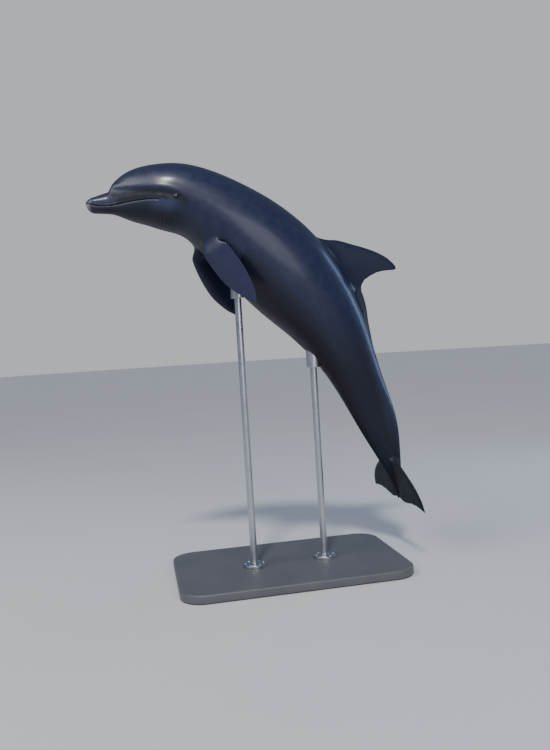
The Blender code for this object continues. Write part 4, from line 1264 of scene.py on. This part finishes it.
# %% [markdown]
# ## Wet skin
# Living dolphin skin is as smooth as wet rubber. It is painted in thin coats and varnished, because a
# jumping dolphin is wet; the varnish thins out underneath, on the tail and over the dark band. The colours
# go on in the order a painter would use: flank, belly, cape with its painted shade towards the rear, the deep
# painted shade, then the small patches, which include a painted highlight on the lip, a painted sheen on the
# cheek, and painted shade in the dark band and the mouth's cut. Clouds break the borders of belly and cape,
# and a few old tooth marks of other dolphins cross the flank as pale lines.

# %% Paints of the skin
FLANK = srgb(38, 44, 72)
FLANK_CLOUD = srgb(25, 30, 53)
# the cape's paint, also laid on the rear and the tail as painted shade
CAPE_AND_REAR_SHADE = srgb(28, 33, 54)
# the belly, painted nearly as dark as the flank: painted shade
BELLY = srgb(34, 37, 53)
BLUSH = srgb(46, 40, 54)
# the beak's pale tip and the painted highlight along the lower lip
PALE_TIP_AND_LIP_HIGHLIGHT = srgb(150, 146, 150)
# the painted sheen on the cheek
CHEEK_SHEEN = srgb(60, 66, 98)
# darker skin round the eyes and the blowhole, and the painted shade under the melon
DARK_MARKS_AND_SHADE = srgb(9, 11, 19)
DEEP = srgb(13, 16, 28)
LIMB = srgb(40, 43, 68)
# the painted shade inside the mouth's cut
MOUTH_CUT_SHADE = srgb(14, 12, 16)
TOOTH_MARK = srgb(92, 90, 104)
SPECK = srgb(24, 24, 32)
print("flank, made linear:", [round(part, 4) for part in FLANK[:3]])

# %% The skin's finish


def wet_skin():
    """The skin's paint and varnish."""
    finish, tree, shader = new_finish("wet_skin")
    belly_field, cape_and_rear_shade_field, blush_field = field(tree, "fields")
    tip_and_lip_highlight_field, cheek_sheen_field, dark_marks_and_shade_field = field(tree, "patches")
    limb_field, mouth_cut_shade_field, tail_field = field(tree, "limbs")
    shade_field, wet_field, flat_field = field(tree, "cover")
    broad = use_group(tree, CLOUDS, Scale=3.2, Contrast=1.3)
    small = use_group(tree, CLOUDS, Scale=26.0, Contrast=1.2)
    colour = tint(tree, small, FLANK_CLOUD, FLANK)
    edge = math_node(tree, "MULTIPLY", math_node(tree, "SUBTRACT", broad, 0.5), 0.35)
    share = math_node(tree, "ADD", belly_field, edge)
    colour = tint(tree, soft_range(tree, share, 0.12, 0.95), colour, BELLY)
    # the cape, with painted shade on the rear and the tail
    share = math_node(tree, "ADD", cape_and_rear_shade_field, edge)
    colour = tint(tree, soft_range(tree, share, 0.05, 0.95), colour, CAPE_AND_REAR_SHADE)
    # the patches: blush, the deep painted shade, flipper, the beak's tip with the lip's painted highlight,
    # the cheek's painted sheen, dark skin with painted shade, and painted shade in the mouth's cut
    for patch, strength, paint in (
        (blush_field, 0.55, BLUSH), (shade_field, 0.85, DEEP),
        (limb_field, 0.8, LIMB), (tip_and_lip_highlight_field, 0.75, PALE_TIP_AND_LIP_HIGHLIGHT),
        (cheek_sheen_field, 0.6, CHEEK_SHEEN), (dark_marks_and_shade_field, 0.85, DARK_MARKS_AND_SHADE), (mouth_cut_shade_field, 0.9, MOUTH_CUT_SHADE),
    ):
        colour = tint(tree, math_node(tree, "MULTIPLY", patch, strength), colour, paint)
    rake = math_node(tree, "MULTIPLY", use_group(tree, SCRATCHES, Scale=26.0, Amount=0.30), flat_field)
    colour = tint(tree, rake, colour, TOOTH_MARK)
    speck = use_group(tree, SPECKS, Scale=38.0, Size=0.16)
    colour = tint(tree, math_node(tree, "MULTIPLY", speck, 0.35), colour, SPECK)
    tree.links.new(colour, shader.inputs["Base Color"])
    rough = soft_range(tree, small, 0.2, 0.8, 0.34, 0.46)
    rough = math_node(tree, "ADD", rough, math_node(tree, "MULTIPLY", tail_field, 0.15))
    rough = math_node(tree, "ADD", rough, math_node(tree, "MULTIPLY", dark_marks_and_shade_field, 0.30))
    tree.links.new(rough, shader.inputs["Roughness"])
    tree.links.new(math_node(tree, "MULTIPLY", wet_field, 0.45), shader.inputs["Coat Weight"])
    shader.inputs["Specular IOR Level"].default_value = 0.32
    shader.inputs["Coat Roughness"].default_value = 0.17
    shader.inputs["Coat IOR"].default_value = 1.36
    grain = noise(tree, tree.nodes.new("ShaderNodeTexCoord").outputs["Object"], 240.0, 3, 0.6)
    ripple = math_node(tree, "MULTIPLY", small, 1.6)
    height = math_node(tree, "ADD", math_node(tree, "MULTIPLY", grain, 0.35), ripple)
    height = math_node(tree, "SUBTRACT", height, rake)
    bumped(tree, shader, height, 0.25, 0.0011)
    return finish


SKIN_FINISH = wet_skin()
skin.data.materials.append(SKIN_FINISH)
FLESH = [name for name in frame["nodes"] if not name.startswith(("eye_", "stand_"))]    # the nodes it covers
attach(skin, "root")
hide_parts(*FLESH)
print("the skin stands for", len(FLESH), "nodes")

# %% [markdown]
# ## Eyes
# Glass eyes for a cast are turned balls with a slightly stronger curve in front, painted from behind. A
# bottlenose's iris is very dark brown and its pupil is wide across, so the eye looks almost black with a
# bright point of light. The ball is lathed about its line of sight, and each of its points stores how far
# it lies off that line, along and above, which lets one finish serve both eyes.

# %% Eyeballs
CORNEA = 0.0009         # how far the front of the eye bulges past the ball
CORNEA_SPREAD = 0.34    # how wide the bulge is, in radians
EYE_PLAY = 0.00005      # gap between the ball and the lids' inside
PUPIL_SHAPE = 0.62      # height of the pupil for its width
EYE_RINGS = 48
EYE_SPOKES = 64


def eyeball(name, side):
    """A ball with a bulging front, about its line of sight."""
    point, normal = skin_point(EYE_STATION, EYE_ANGLE, side)
    centre = point - normal * EYE_SINK
    tailward = axis_at(EYE_STATION)[1]
    tailward = tailward - normal * (tailward @ normal)
    tailward /= np.linalg.norm(tailward)
    upward = np.cross(normal, tailward)
    away = np.pi * (np.arange(1, EYE_RINGS) / EYE_RINGS) ** 1.25
    spoke = 2 * np.pi * np.arange(EYE_SPOKES) / EYE_SPOKES
    size = EYE_RADIUS - EYE_PLAY + CORNEA * bell(away, CORNEA_SPREAD)
    flat = tailward * np.cos(spoke)[:, None] + upward * np.sin(spoke)[:, None]
    rings = centre + size[:, None, None] * (
        np.cos(away)[:, None, None] * normal + np.sin(away)[:, None, None] * flat[None])
    front = centre + normal * (EYE_RADIUS + CORNEA)
    ball = loft(name, rings, front, centre - normal * EYE_RADIUS)
    off = read_points(ball.data) - centre
    along, over = (np.arctan2(off @ way, off @ normal) / np.pi * 2 + 0.5 for way in (tailward, upward))
    store(ball.data, "gaze", along, over, np.zeros_like(along))
    ball.data.shade_smooth()
    return ball

# %% The finish of the eyes


def length_of(tree, first, second):
    """The length of a flat vector whose two parts are sockets."""
    squares = [math_node(tree, "MULTIPLY", part, part) for part in (first, second)]
    return math_node(tree, "SQRT", math_node(tree, "ADD", *squares))


def glass_eye():
    """Pupil, iris and white of the eye under a clear coat."""
    finish, tree, shader = new_finish("glass_eye")
    along, over = (math_node(tree, "SUBTRACT", part, 0.5) for part in field(tree, "gaze")[:2])
    pupil = length_of(tree, math_node(tree, "MULTIPLY", along, PUPIL_SHAPE), over)
    reach = length_of(tree, along, over)
    rays = use_group(tree, CLOUDS, Scale=900.0, Contrast=2.0)
    iris = tint(tree, rays, srgb(15, 11, 11), srgb(30, 21, 18))
    colour = tint(tree, soft_range(tree, pupil, 0.085, 0.115), srgb(6, 6, 9), iris)
    colour = tint(tree, soft_range(tree, reach, 0.26, 0.33), colour, srgb(22, 20, 24))
    tree.links.new(colour, shader.inputs["Base Color"])
    shader.inputs["Roughness"].default_value = 0.25
    shader.inputs["Specular IOR Level"].default_value = 0.2
    shader.inputs["Coat Weight"].default_value = 0.35
    shader.inputs["Coat Roughness"].default_value = 0.03
    return finish


EYE_FINISH = glass_eye()
print("nodes of the eye's finish:", len(EYE_FINISH.node_tree.nodes))

# %% Both eyes
for name, side in (("left", 1), ("right", -1)):
    ball = eyeball("eyeball_" + name, side)
    ball.data.materials.append(EYE_FINISH)
    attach(ball, "root")
    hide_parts("eye_" + name)

# %% [markdown]
# ## The stand
# The plinth is a low board with round corners, painted satin grey, on a narrow recessed foot that throws
# a thin shadow line. We draw its outline once and lift it through a list of steps, as a router would cut
# the profile. The rods, flanges and collars are turned steel, so each is a short list of steps carried
# round an upright line, with small rounded edges and a tool's groove. The collars' upper ends are coped:
# every column of a collar rises until it meets the belly.

# %% Outline and board of the plinth
BASE_SIZE = (1.16, 0.76, 0.045)
BASE_CORNER = 0.12
# inset from the outline and height, from the underside up over the rounded edge
PLINTH_STEPS = (
    (0.0140, 0.0000), (0.0120, 0.0000), (0.0120, 0.0055), (0.0125, 0.0060), (0.0012, 0.0060),
    (0.0002, 0.0066), (0.0000, 0.0078), (0.0000, 0.0370), (0.0006, 0.0401), (0.0023, 0.0427),
    (0.0049, 0.0444), (0.0080, 0.0450), (0.0110, 0.0450),
)
print("plinth, mm:", [round(1000 * size) for size in BASE_SIZE])


def outline(inset, count=14):
    """The round-cornered outline of the plinth, moved in by inset."""
    half = np.array(BASE_SIZE[:2]) / 2 - BASE_CORNER
    reach = BASE_CORNER - inset
    points = []
    for k, corner in enumerate(((1, 1), (-1, 1), (-1, -1), (1, -1))):
        turned = math.pi / 2 * (k + np.linspace(0, 1, count))
        points.append(np.array(corner) * half + reach * np.stack([np.cos(turned), np.sin(turned)], -1))
    return np.concatenate(points)


def plinth():
    """The board, closed above and below."""
    rings = []
    for inset, height in PLINTH_STEPS:
        flat = outline(inset)
        rings.append(np.concatenate([flat, np.full((len(flat), 1), height)], axis=1))
    board = loft("plinth", np.array(rings))
    board.data.shade_smooth()
    board.data.set_sharp_from_angle(angle=math.radians(40))
    return board

# %% The plinth and its paint


def satin_paint():
    """Grey satin paint with the faint orange peel of a spray gun and a little dust."""
    finish, tree, shader = new_finish("satin_paint")
    cloud = use_group(tree, CLOUDS, Scale=5.0, Contrast=1.4)
    colour = tint(tree, cloud, srgb(78, 79, 83), srgb(90, 91, 95))
    dust = use_group(tree, SPECKS, Scale=150.0, Size=0.22)
    colour = tint(tree, math_node(tree, "MULTIPLY", dust, 0.35), colour, srgb(150, 148, 144))
    rub = use_group(tree, SCRATCHES, Scale=60.0, Amount=0.25)
    colour = tint(tree, rub, colour, srgb(120, 120, 124))
    tree.links.new(colour, shader.inputs["Base Color"])
    tree.links.new(soft_range(tree, cloud, 0.2, 0.8, 0.38, 0.50), shader.inputs["Roughness"])
    peel = noise(tree, tree.nodes.new("ShaderNodeTexCoord").outputs["Object"], 160.0, 2, 0.5)
    bumped(tree, shader, peel, 0.10, 0.0006)
    return finish


PAINT = satin_paint()
board = plinth()
board.data.materials.append(PAINT)
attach(board, "root")
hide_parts("stand_base")

# %% Brushed steel


def brushed_steel():
    """Turned steel: fine rings round the rods, a little smudged."""
    finish, tree, shader = new_finish("brushed_steel")
    place = tree.nodes.new("ShaderNodeTexCoord")
    stretch = tree.nodes.new("ShaderNodeMapping")
    stretch.inputs["Scale"].default_value = (6.0, 6.0, 900.0)
    tree.links.new(place.outputs["Object"], stretch.inputs["Vector"])
    lines = noise(tree, stretch.outputs["Vector"], 1.0, 4, 0.6)
    smudge = use_group(tree, CLOUDS, Scale=18.0, Contrast=1.5)
    rub = use_group(tree, SCRATCHES, Scale=90.0, Amount=0.35)
    colour = tint(tree, lines, srgb(176, 178, 182), srgb(206, 207, 210))
    colour = tint(tree, rub, colour, srgb(226, 226, 228))
    tree.links.new(colour, shader.inputs["Base Color"])
    shader.inputs["Metallic"].default_value = 1.0
    rough = soft_range(tree, smudge, 0.2, 0.8, 0.24, 0.36)
    rough = math_node(tree, "ADD", rough, math_node(tree, "MULTIPLY", lines, 0.06))
    tree.links.new(rough, shader.inputs["Roughness"])
    bumped(tree, shader, lines, 0.12, 0.0002)
    return finish


STEEL = brushed_steel()
print("nodes of the steel:", len(STEEL.node_tree.nodes))

# %% Steps of rods, flanges and collars
ROD_STATIONS = (0.385, 0.625)
TURNED_SIDES = 72
GAP = 0.0003            # between neighbouring pieces
FLANGE_FOOT = BASE_SIZE[2] + GAP
FLANGE_HEIGHT = 0.014
COLLAR_HEIGHT = 0.050   # below the middle of the belly
COPE_DEPTH = 0.002      # how far a collar's end sinks into the skin
ROD_END = 0.012         # where a rod ends inside its collar
# radius and height of the turned steps: a flange over the plinth, a rod over the flange's top, a collar over
# its own lower face
FLANGE_STEPS = (
    (0.0592, 0.0000), (0.0600, 0.0008), (0.0600, 0.0118), (0.0598, 0.0127), (0.0591, 0.0135),
    (0.0580, 0.0140), (0.0225, 0.0140), (0.0206, 0.0137), (0.0194, 0.0128), (0.0190, 0.0112),
    (0.0170, 0.0112),
)
ROD_STEPS = ((0.0175, -0.0120), (0.0175, 0.0180), (0.0170, 0.0184), (0.0170, 0.0204), (0.0175, 0.0208))
COLLAR_STEPS = (
    (0.0170, 0.0030), (0.0192, 0.0030), (0.0198, 0.0010), (0.0212, 0.0000), (0.0318, 0.0000),
    (0.0331, 0.0005), (0.0338, 0.0014), (0.0340, 0.0030), (0.0340, 0.0080), (0.0335, 0.0084),
    (0.0335, 0.0100), (0.0340, 0.0104),
)
print("flange, mm:", 2000 * max(radius for radius, _ in FLANGE_STEPS), "across")

# %% Turning a piece


def circle(sides):
    """Points of a circle of radius 1."""
    angles = 2 * np.pi * np.arange(sides) / sides
    return np.stack([np.cos(angles), np.sin(angles)], -1)


def turned(name, place, steps, top=None):
    """A piece turned about the upright line through place, its last ring carried on up to top."""
    rings = []
    for radius, height in steps:
        level = np.full((TURNED_SIDES, 1), place[2] + height)
        rings.append(np.concatenate([place[:2] + radius * circle(TURNED_SIDES), level], axis=1))
    if top is not None:
        rings.append(rings[-1].copy())
        rings[-1][:, 2] = top
    piece = loft(name, np.array(rings))
    piece.data.shade_smooth()
    piece.data.set_sharp_from_angle(angle=math.radians(30))
    piece.data.materials.append(STEEL)
    return piece


print("points round a turned piece:", TURNED_SIDES)

# %% Rods, flanges and collars under the belly


def belly_over(place, radius, tree):
    """How high the belly lies over each point of a circle."""
    spots = [place + Vector((radius * x, radius * y, 0)) for x, y in circle(TURNED_SIDES)]
    return np.array([tree.ray_cast(spot, Vector((0, 0, 1)))[0].z for spot in spots])


def belly_place(u):
    """The middle of the belly at a station, where a rod holds the body."""
    return body_points(np.array([u]), np.full((1, 1), math.pi), 1)[0, 0]


body_tree = BVHTree.FromPolygons([v.co for v in skin.data.vertices], [p.vertices for p in skin.data.polygons])
for name, u in zip(("front", "rear"), ROD_STATIONS):
    x, y, z = belly_place(u)
    low = z - COLLAR_HEIGHT
    top = belly_over(Vector((x, y, low)), COLLAR_STEPS[-1][0], body_tree) + COPE_DEPTH
    print(name, "collar rises, mm:", [round(1000 * (end - low), 1) for end in (top.min(), top.max())])
    for kind, foot, steps, end in (
        ("flange", FLANGE_FOOT, FLANGE_STEPS, None),
        ("rod", FLANGE_FOOT + FLANGE_HEIGHT, ROD_STEPS, low + ROD_END),
        ("collar", low, COLLAR_STEPS, top),
    ):
        piece = turned(kind + "_" + name, np.array([x, y, foot]), steps, end)
        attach(piece, "root")
        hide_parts("stand_" + kind + "_" + name)

# %% [markdown]
# ## Bolts
# Each flange is held to the plinth by six button-head socket screws on a circle. One screw is modelled
# and Geometry Nodes set it out: a circle of points, the screw on every point, turned about its own axis
# by a seeded random angle as a fitter would leave it. The tree has named inputs for the circle's radius
# and the number of screws, so the same tree would serve a larger flange.

# %% Sizes of a screw
SCREW_HEAD = (0.0058, 0.0034)           # radius and height of the head
SCREW_SIDES = 24
# radius and height of the dome, as shares of the head's
DOME = ((1.0, 0.0), (1.0, 0.25), (0.95, 0.55), (0.83, 0.82), (0.68, 0.97), (0.60, 1.0))
SOCKET = (0.0030, 0.0022)               # radius to the corners and depth of the socket
print("screw's head, mm:", [round(1000 * size, 1) for size in SCREW_HEAD])

# %% Lofting the screw


def hexagon():
    """A hexagon with as many points as the screw's circle, its corners at radius 1."""
    angles = 2 * np.pi * np.arange(SCREW_SIDES) / SCREW_SIDES
    from_flat = np.abs(np.cos((angles + np.pi / 6) % (np.pi / 3) - np.pi / 6))
    return circle(SCREW_SIDES) / np.maximum(from_flat, 0.5)[:, None] * math.cos(math.pi / 6)


def screw():
    """A low domed head with a six-sided socket."""
    radius, height = SCREW_HEAD
    corner, depth = SOCKET
    steps = [(circle(SCREW_SIDES) * radius * share, height * rise) for share, rise in DOME]
    steps += [(hexagon() * corner, height), (hexagon() * corner, height - depth)]
    rings = [np.concatenate([flat, np.full((SCREW_SIDES, 1), level)], axis=1) for flat, level in steps]
    return loft("screw", np.array(rings))


SCREW = screw()
SCREW.data.shade_smooth()
SCREW.data.set_sharp_from_angle(angle=math.radians(35))

# %% Setting the screws out with Geometry Nodes
SCREW_CIRCLE = 0.045    # radius on which the screws stand
SCREW_COUNT = 6


def screw_tree():
    """A ring of screws: points on a circle, a screw on each, real geometry at the end."""
    tree = bpy.data.node_groups.new("ring_of_screws", "GeometryNodeTree")
    sockets = {}
    for label, kind in (
        ("Circle Radius", "Float"), ("Screws", "Int"), ("Seed", "Int"),
        ("Centre", "Vector"), ("Screw", "Object"), ("Finish", "Material"),
    ):
        sockets[label] = tree.interface.new_socket(label, in_out="INPUT", socket_type="NodeSocket" + kind)
    tree.interface.new_socket("Geometry", in_out="OUTPUT", socket_type="NodeSocketGeometry")
    given, result = tree.nodes.new("NodeGroupInput"), tree.nodes.new("NodeGroupOutput")
    ring = tree.nodes.new("GeometryNodeMeshCircle")
    points = tree.nodes.new("GeometryNodeMeshToPoints")
    copies = tree.nodes.new("GeometryNodeInstanceOnPoints")
    shape = tree.nodes.new("GeometryNodeObjectInfo")
    spin = tree.nodes.new("FunctionNodeRandomValue")
    about_z = tree.nodes.new("ShaderNodeCombineXYZ")
    move = tree.nodes.new("GeometryNodeTransform")
    real = tree.nodes.new("GeometryNodeRealizeInstances")
    paint = tree.nodes.new("GeometryNodeSetMaterial")
    spin.inputs[3].default_value = 6.283        # a full turn
    for start, end in (
        (given.outputs["Screws"], ring.inputs["Vertices"]),
        (given.outputs["Circle Radius"], ring.inputs["Radius"]),
        (ring.outputs["Mesh"], points.inputs["Mesh"]),
        (points.outputs["Points"], copies.inputs["Points"]),
        (given.outputs["Screw"], shape.inputs["Object"]),
        (shape.outputs["Geometry"], copies.inputs["Instance"]),
        (given.outputs["Seed"], spin.inputs["Seed"]),
        (spin.outputs[1], about_z.inputs["Z"]),
        (about_z.outputs[0], copies.inputs["Rotation"]),
        (copies.outputs["Instances"], move.inputs["Geometry"]),
        (given.outputs["Centre"], move.inputs["Translation"]),
        (move.outputs["Geometry"], real.inputs["Geometry"]),
        (real.outputs["Geometry"], paint.inputs["Geometry"]),
        (given.outputs["Finish"], paint.inputs["Material"]),
        (paint.outputs["Geometry"], result.inputs[0]),
    ):
        tree.links.new(start, end)
    return tree, {label: socket.identifier for label, socket in sockets.items()}


RING_TREE, RING_INPUTS = screw_tree()
print("inputs of the tree:", list(RING_INPUTS))

# %% A ring of screws on each flange


def ring_of_screws(name, centre, seed):
    """A plain mesh object of one ring of screws."""
    holder = mesh_object(name, np.zeros((0, 3)), [])
    step = holder.modifiers.new("ring of screws", "NODES")
    step.node_group = RING_TREE
    for label, value in (
        ("Circle Radius", SCREW_CIRCLE), ("Screws", SCREW_COUNT), ("Seed", seed), ("Centre", centre),
        ("Screw", SCREW), ("Finish", STEEL),
    ):
        step[RING_INPUTS[label]] = value
    graph = bpy.context.evaluated_depsgraph_get()
    mesh = bpy.data.meshes.new_from_object(holder.evaluated_get(graph))
    holder.modifiers.clear()
    holder.data = mesh
    return holder


for seed, (name, u) in enumerate(zip(("front", "rear"), ROD_STATIONS), 3):
    x, y, _ = belly_place(u)
    ring = ring_of_screws("screws_" + name, (float(x), float(y), FLANGE_FOOT + FLANGE_HEIGHT), seed)
    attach(ring, "root")
    print(ring.name, "faces:", len(ring.data.polygons))
bpy.data.objects.remove(SCREW, do_unlink=True)

# %% [markdown]
# ## Floor, light and camera
# The floor is a wide disc of pale plaster before a plain pale backdrop that only the camera sees; what the
# skin reflects is a bluish grey surround. A high key lamp, as far off as the sun, gives the body its form.
# One large softbox at the upper left draws the long wet highlight along the back, a second one opens the
# shadows from the front, and a narrow bluish one beside and behind the tail parts its outline from the
# backdrop. The camera stands abreast of the head at about half the model's height, looks nearly level, and
# is slightly rolled.

# %% The floor
FLOOR_RADIUS = 60
FLOOR_SIDES = 96


def studio_floor():
    """A pale disc with a hint of plaster."""
    points = np.concatenate([FLOOR_RADIUS * circle(FLOOR_SIDES), np.zeros((FLOOR_SIDES, 1))], axis=1)
    floor = mesh_object("floor", points, [list(range(FLOOR_SIDES))])
    finish, tree, shader = new_finish("plaster")
    cloud = use_group(tree, CLOUDS, Scale=0.8, Contrast=1.0)
    tree.links.new(tint(tree, cloud, srgb(192, 194, 198), srgb(201, 202, 205)), shader.inputs["Base Color"])
    shader.inputs["Roughness"].default_value = 0.75
    floor.data.materials.append(finish)
    return floor


studio_floor()
print("floor, metres across:", 2 * FLOOR_RADIUS)

# %% The sky


def studio_sky():
    """A grey surround for light and reflections, seen by the camera as a paler backdrop."""
    sky = bpy.data.worlds.new("studio")
    sky.use_nodes = True
    tree = sky.node_tree
    around, seen = tree.nodes["Background"], tree.nodes.new("ShaderNodeBackground")
    blend = tree.nodes.new("ShaderNodeMixShader")
    around.inputs["Color"].default_value = srgb(168, 188, 224)
    around.inputs["Strength"].default_value = 0.32
    seen.inputs["Color"].default_value = srgb(214, 216, 220)
    seen.inputs["Strength"].default_value = 0.80
    tree.links.new(tree.nodes.new("ShaderNodeLightPath").outputs["Is Camera Ray"], blend.inputs[0])
    tree.links.new(around.outputs[0], blend.inputs[1])
    tree.links.new(seen.outputs[0], blend.inputs[2])
    tree.links.new(blend.outputs[0], tree.nodes["World Output"].inputs["Surface"])
    return sky


bpy.context.scene.world = studio_sky()
print("surround:", bpy.context.scene.world.name)

# %% Lamps


def softbox(name, place, target, size, power, colour=(1.0, 1.0, 1.0)):
    """A large area lamp that faces a target."""
    lamp = bpy.data.lights.new(name, "AREA")
    lamp.shape = "RECTANGLE"
    lamp.size, lamp.size_y = size
    lamp.energy = power
    lamp.color = colour
    obj = bpy.data.objects.new(name, lamp)
    obj.location = place
    obj.rotation_euler = (Vector(target) - Vector(place)).to_track_quat("-Z", "Y").to_euler()
    bpy.context.scene.collection.objects.link(obj)
    return obj


# place, target, size and power of each box
softbox("sheen", (-4.0, -1.3, 4.7), (-0.7, 0, 1.8), (3.0, 3.0), 150)
softbox("front", (0.9, -5.2, 2.9), (0, 0, 1.4), (3.2, 3.2), 110)
softbox("rim", (4.1, 1.4, 2.3), (0.4, 0, 1.3), (1.0, 3.0), 34, (0.42, 0.60, 1.0))


def sun(name, towards, angle, strength):
    """A distant lamp that shines from one direction, softened to a disc of some width."""
    lamp = bpy.data.lights.new(name, "SUN")
    lamp.angle = math.radians(angle)
    lamp.energy = strength
    lamp.color = (1.0, 0.98, 0.95)
    obj = bpy.data.objects.new(name, lamp)
    obj.rotation_euler = Vector(towards).to_track_quat("Z", "Y").to_euler()
    bpy.context.scene.collection.objects.link(obj)
    return obj


sun("key", (-0.21, -0.58, 0.79), 7, 2.0)
print("lamps:", [lamp.name for lamp in bpy.data.lights])

# %% Camera
CAMERA_PLACE = (-0.724, -3.686, 1.165)
RIGHT = Vector((0.9793, -0.1929, -0.0619)).normalized()
AHEAD = Vector((0.1907, 0.9808, -0.0398)).normalized()


def studio_camera():
    """The camera, placed by the directions to its right and ahead."""
    lens = bpy.data.cameras.new("camera")
    lens.lens = 35
    lens.sensor_width = 36
    lens.sensor_fit = "AUTO"
    obj = bpy.data.objects.new("camera", lens)
    above = RIGHT.cross(AHEAD).normalized()
    axes = Matrix((RIGHT, above, -AHEAD)).transposed().to_4x4()
    obj.matrix_world = Matrix.Translation(CAMERA_PLACE) @ axes
    bpy.context.scene.collection.objects.link(obj)
    return obj


bpy.context.scene.camera = studio_camera()
print("camera above the floor, mm:", round(1000 * CAMERA_PLACE[2]))
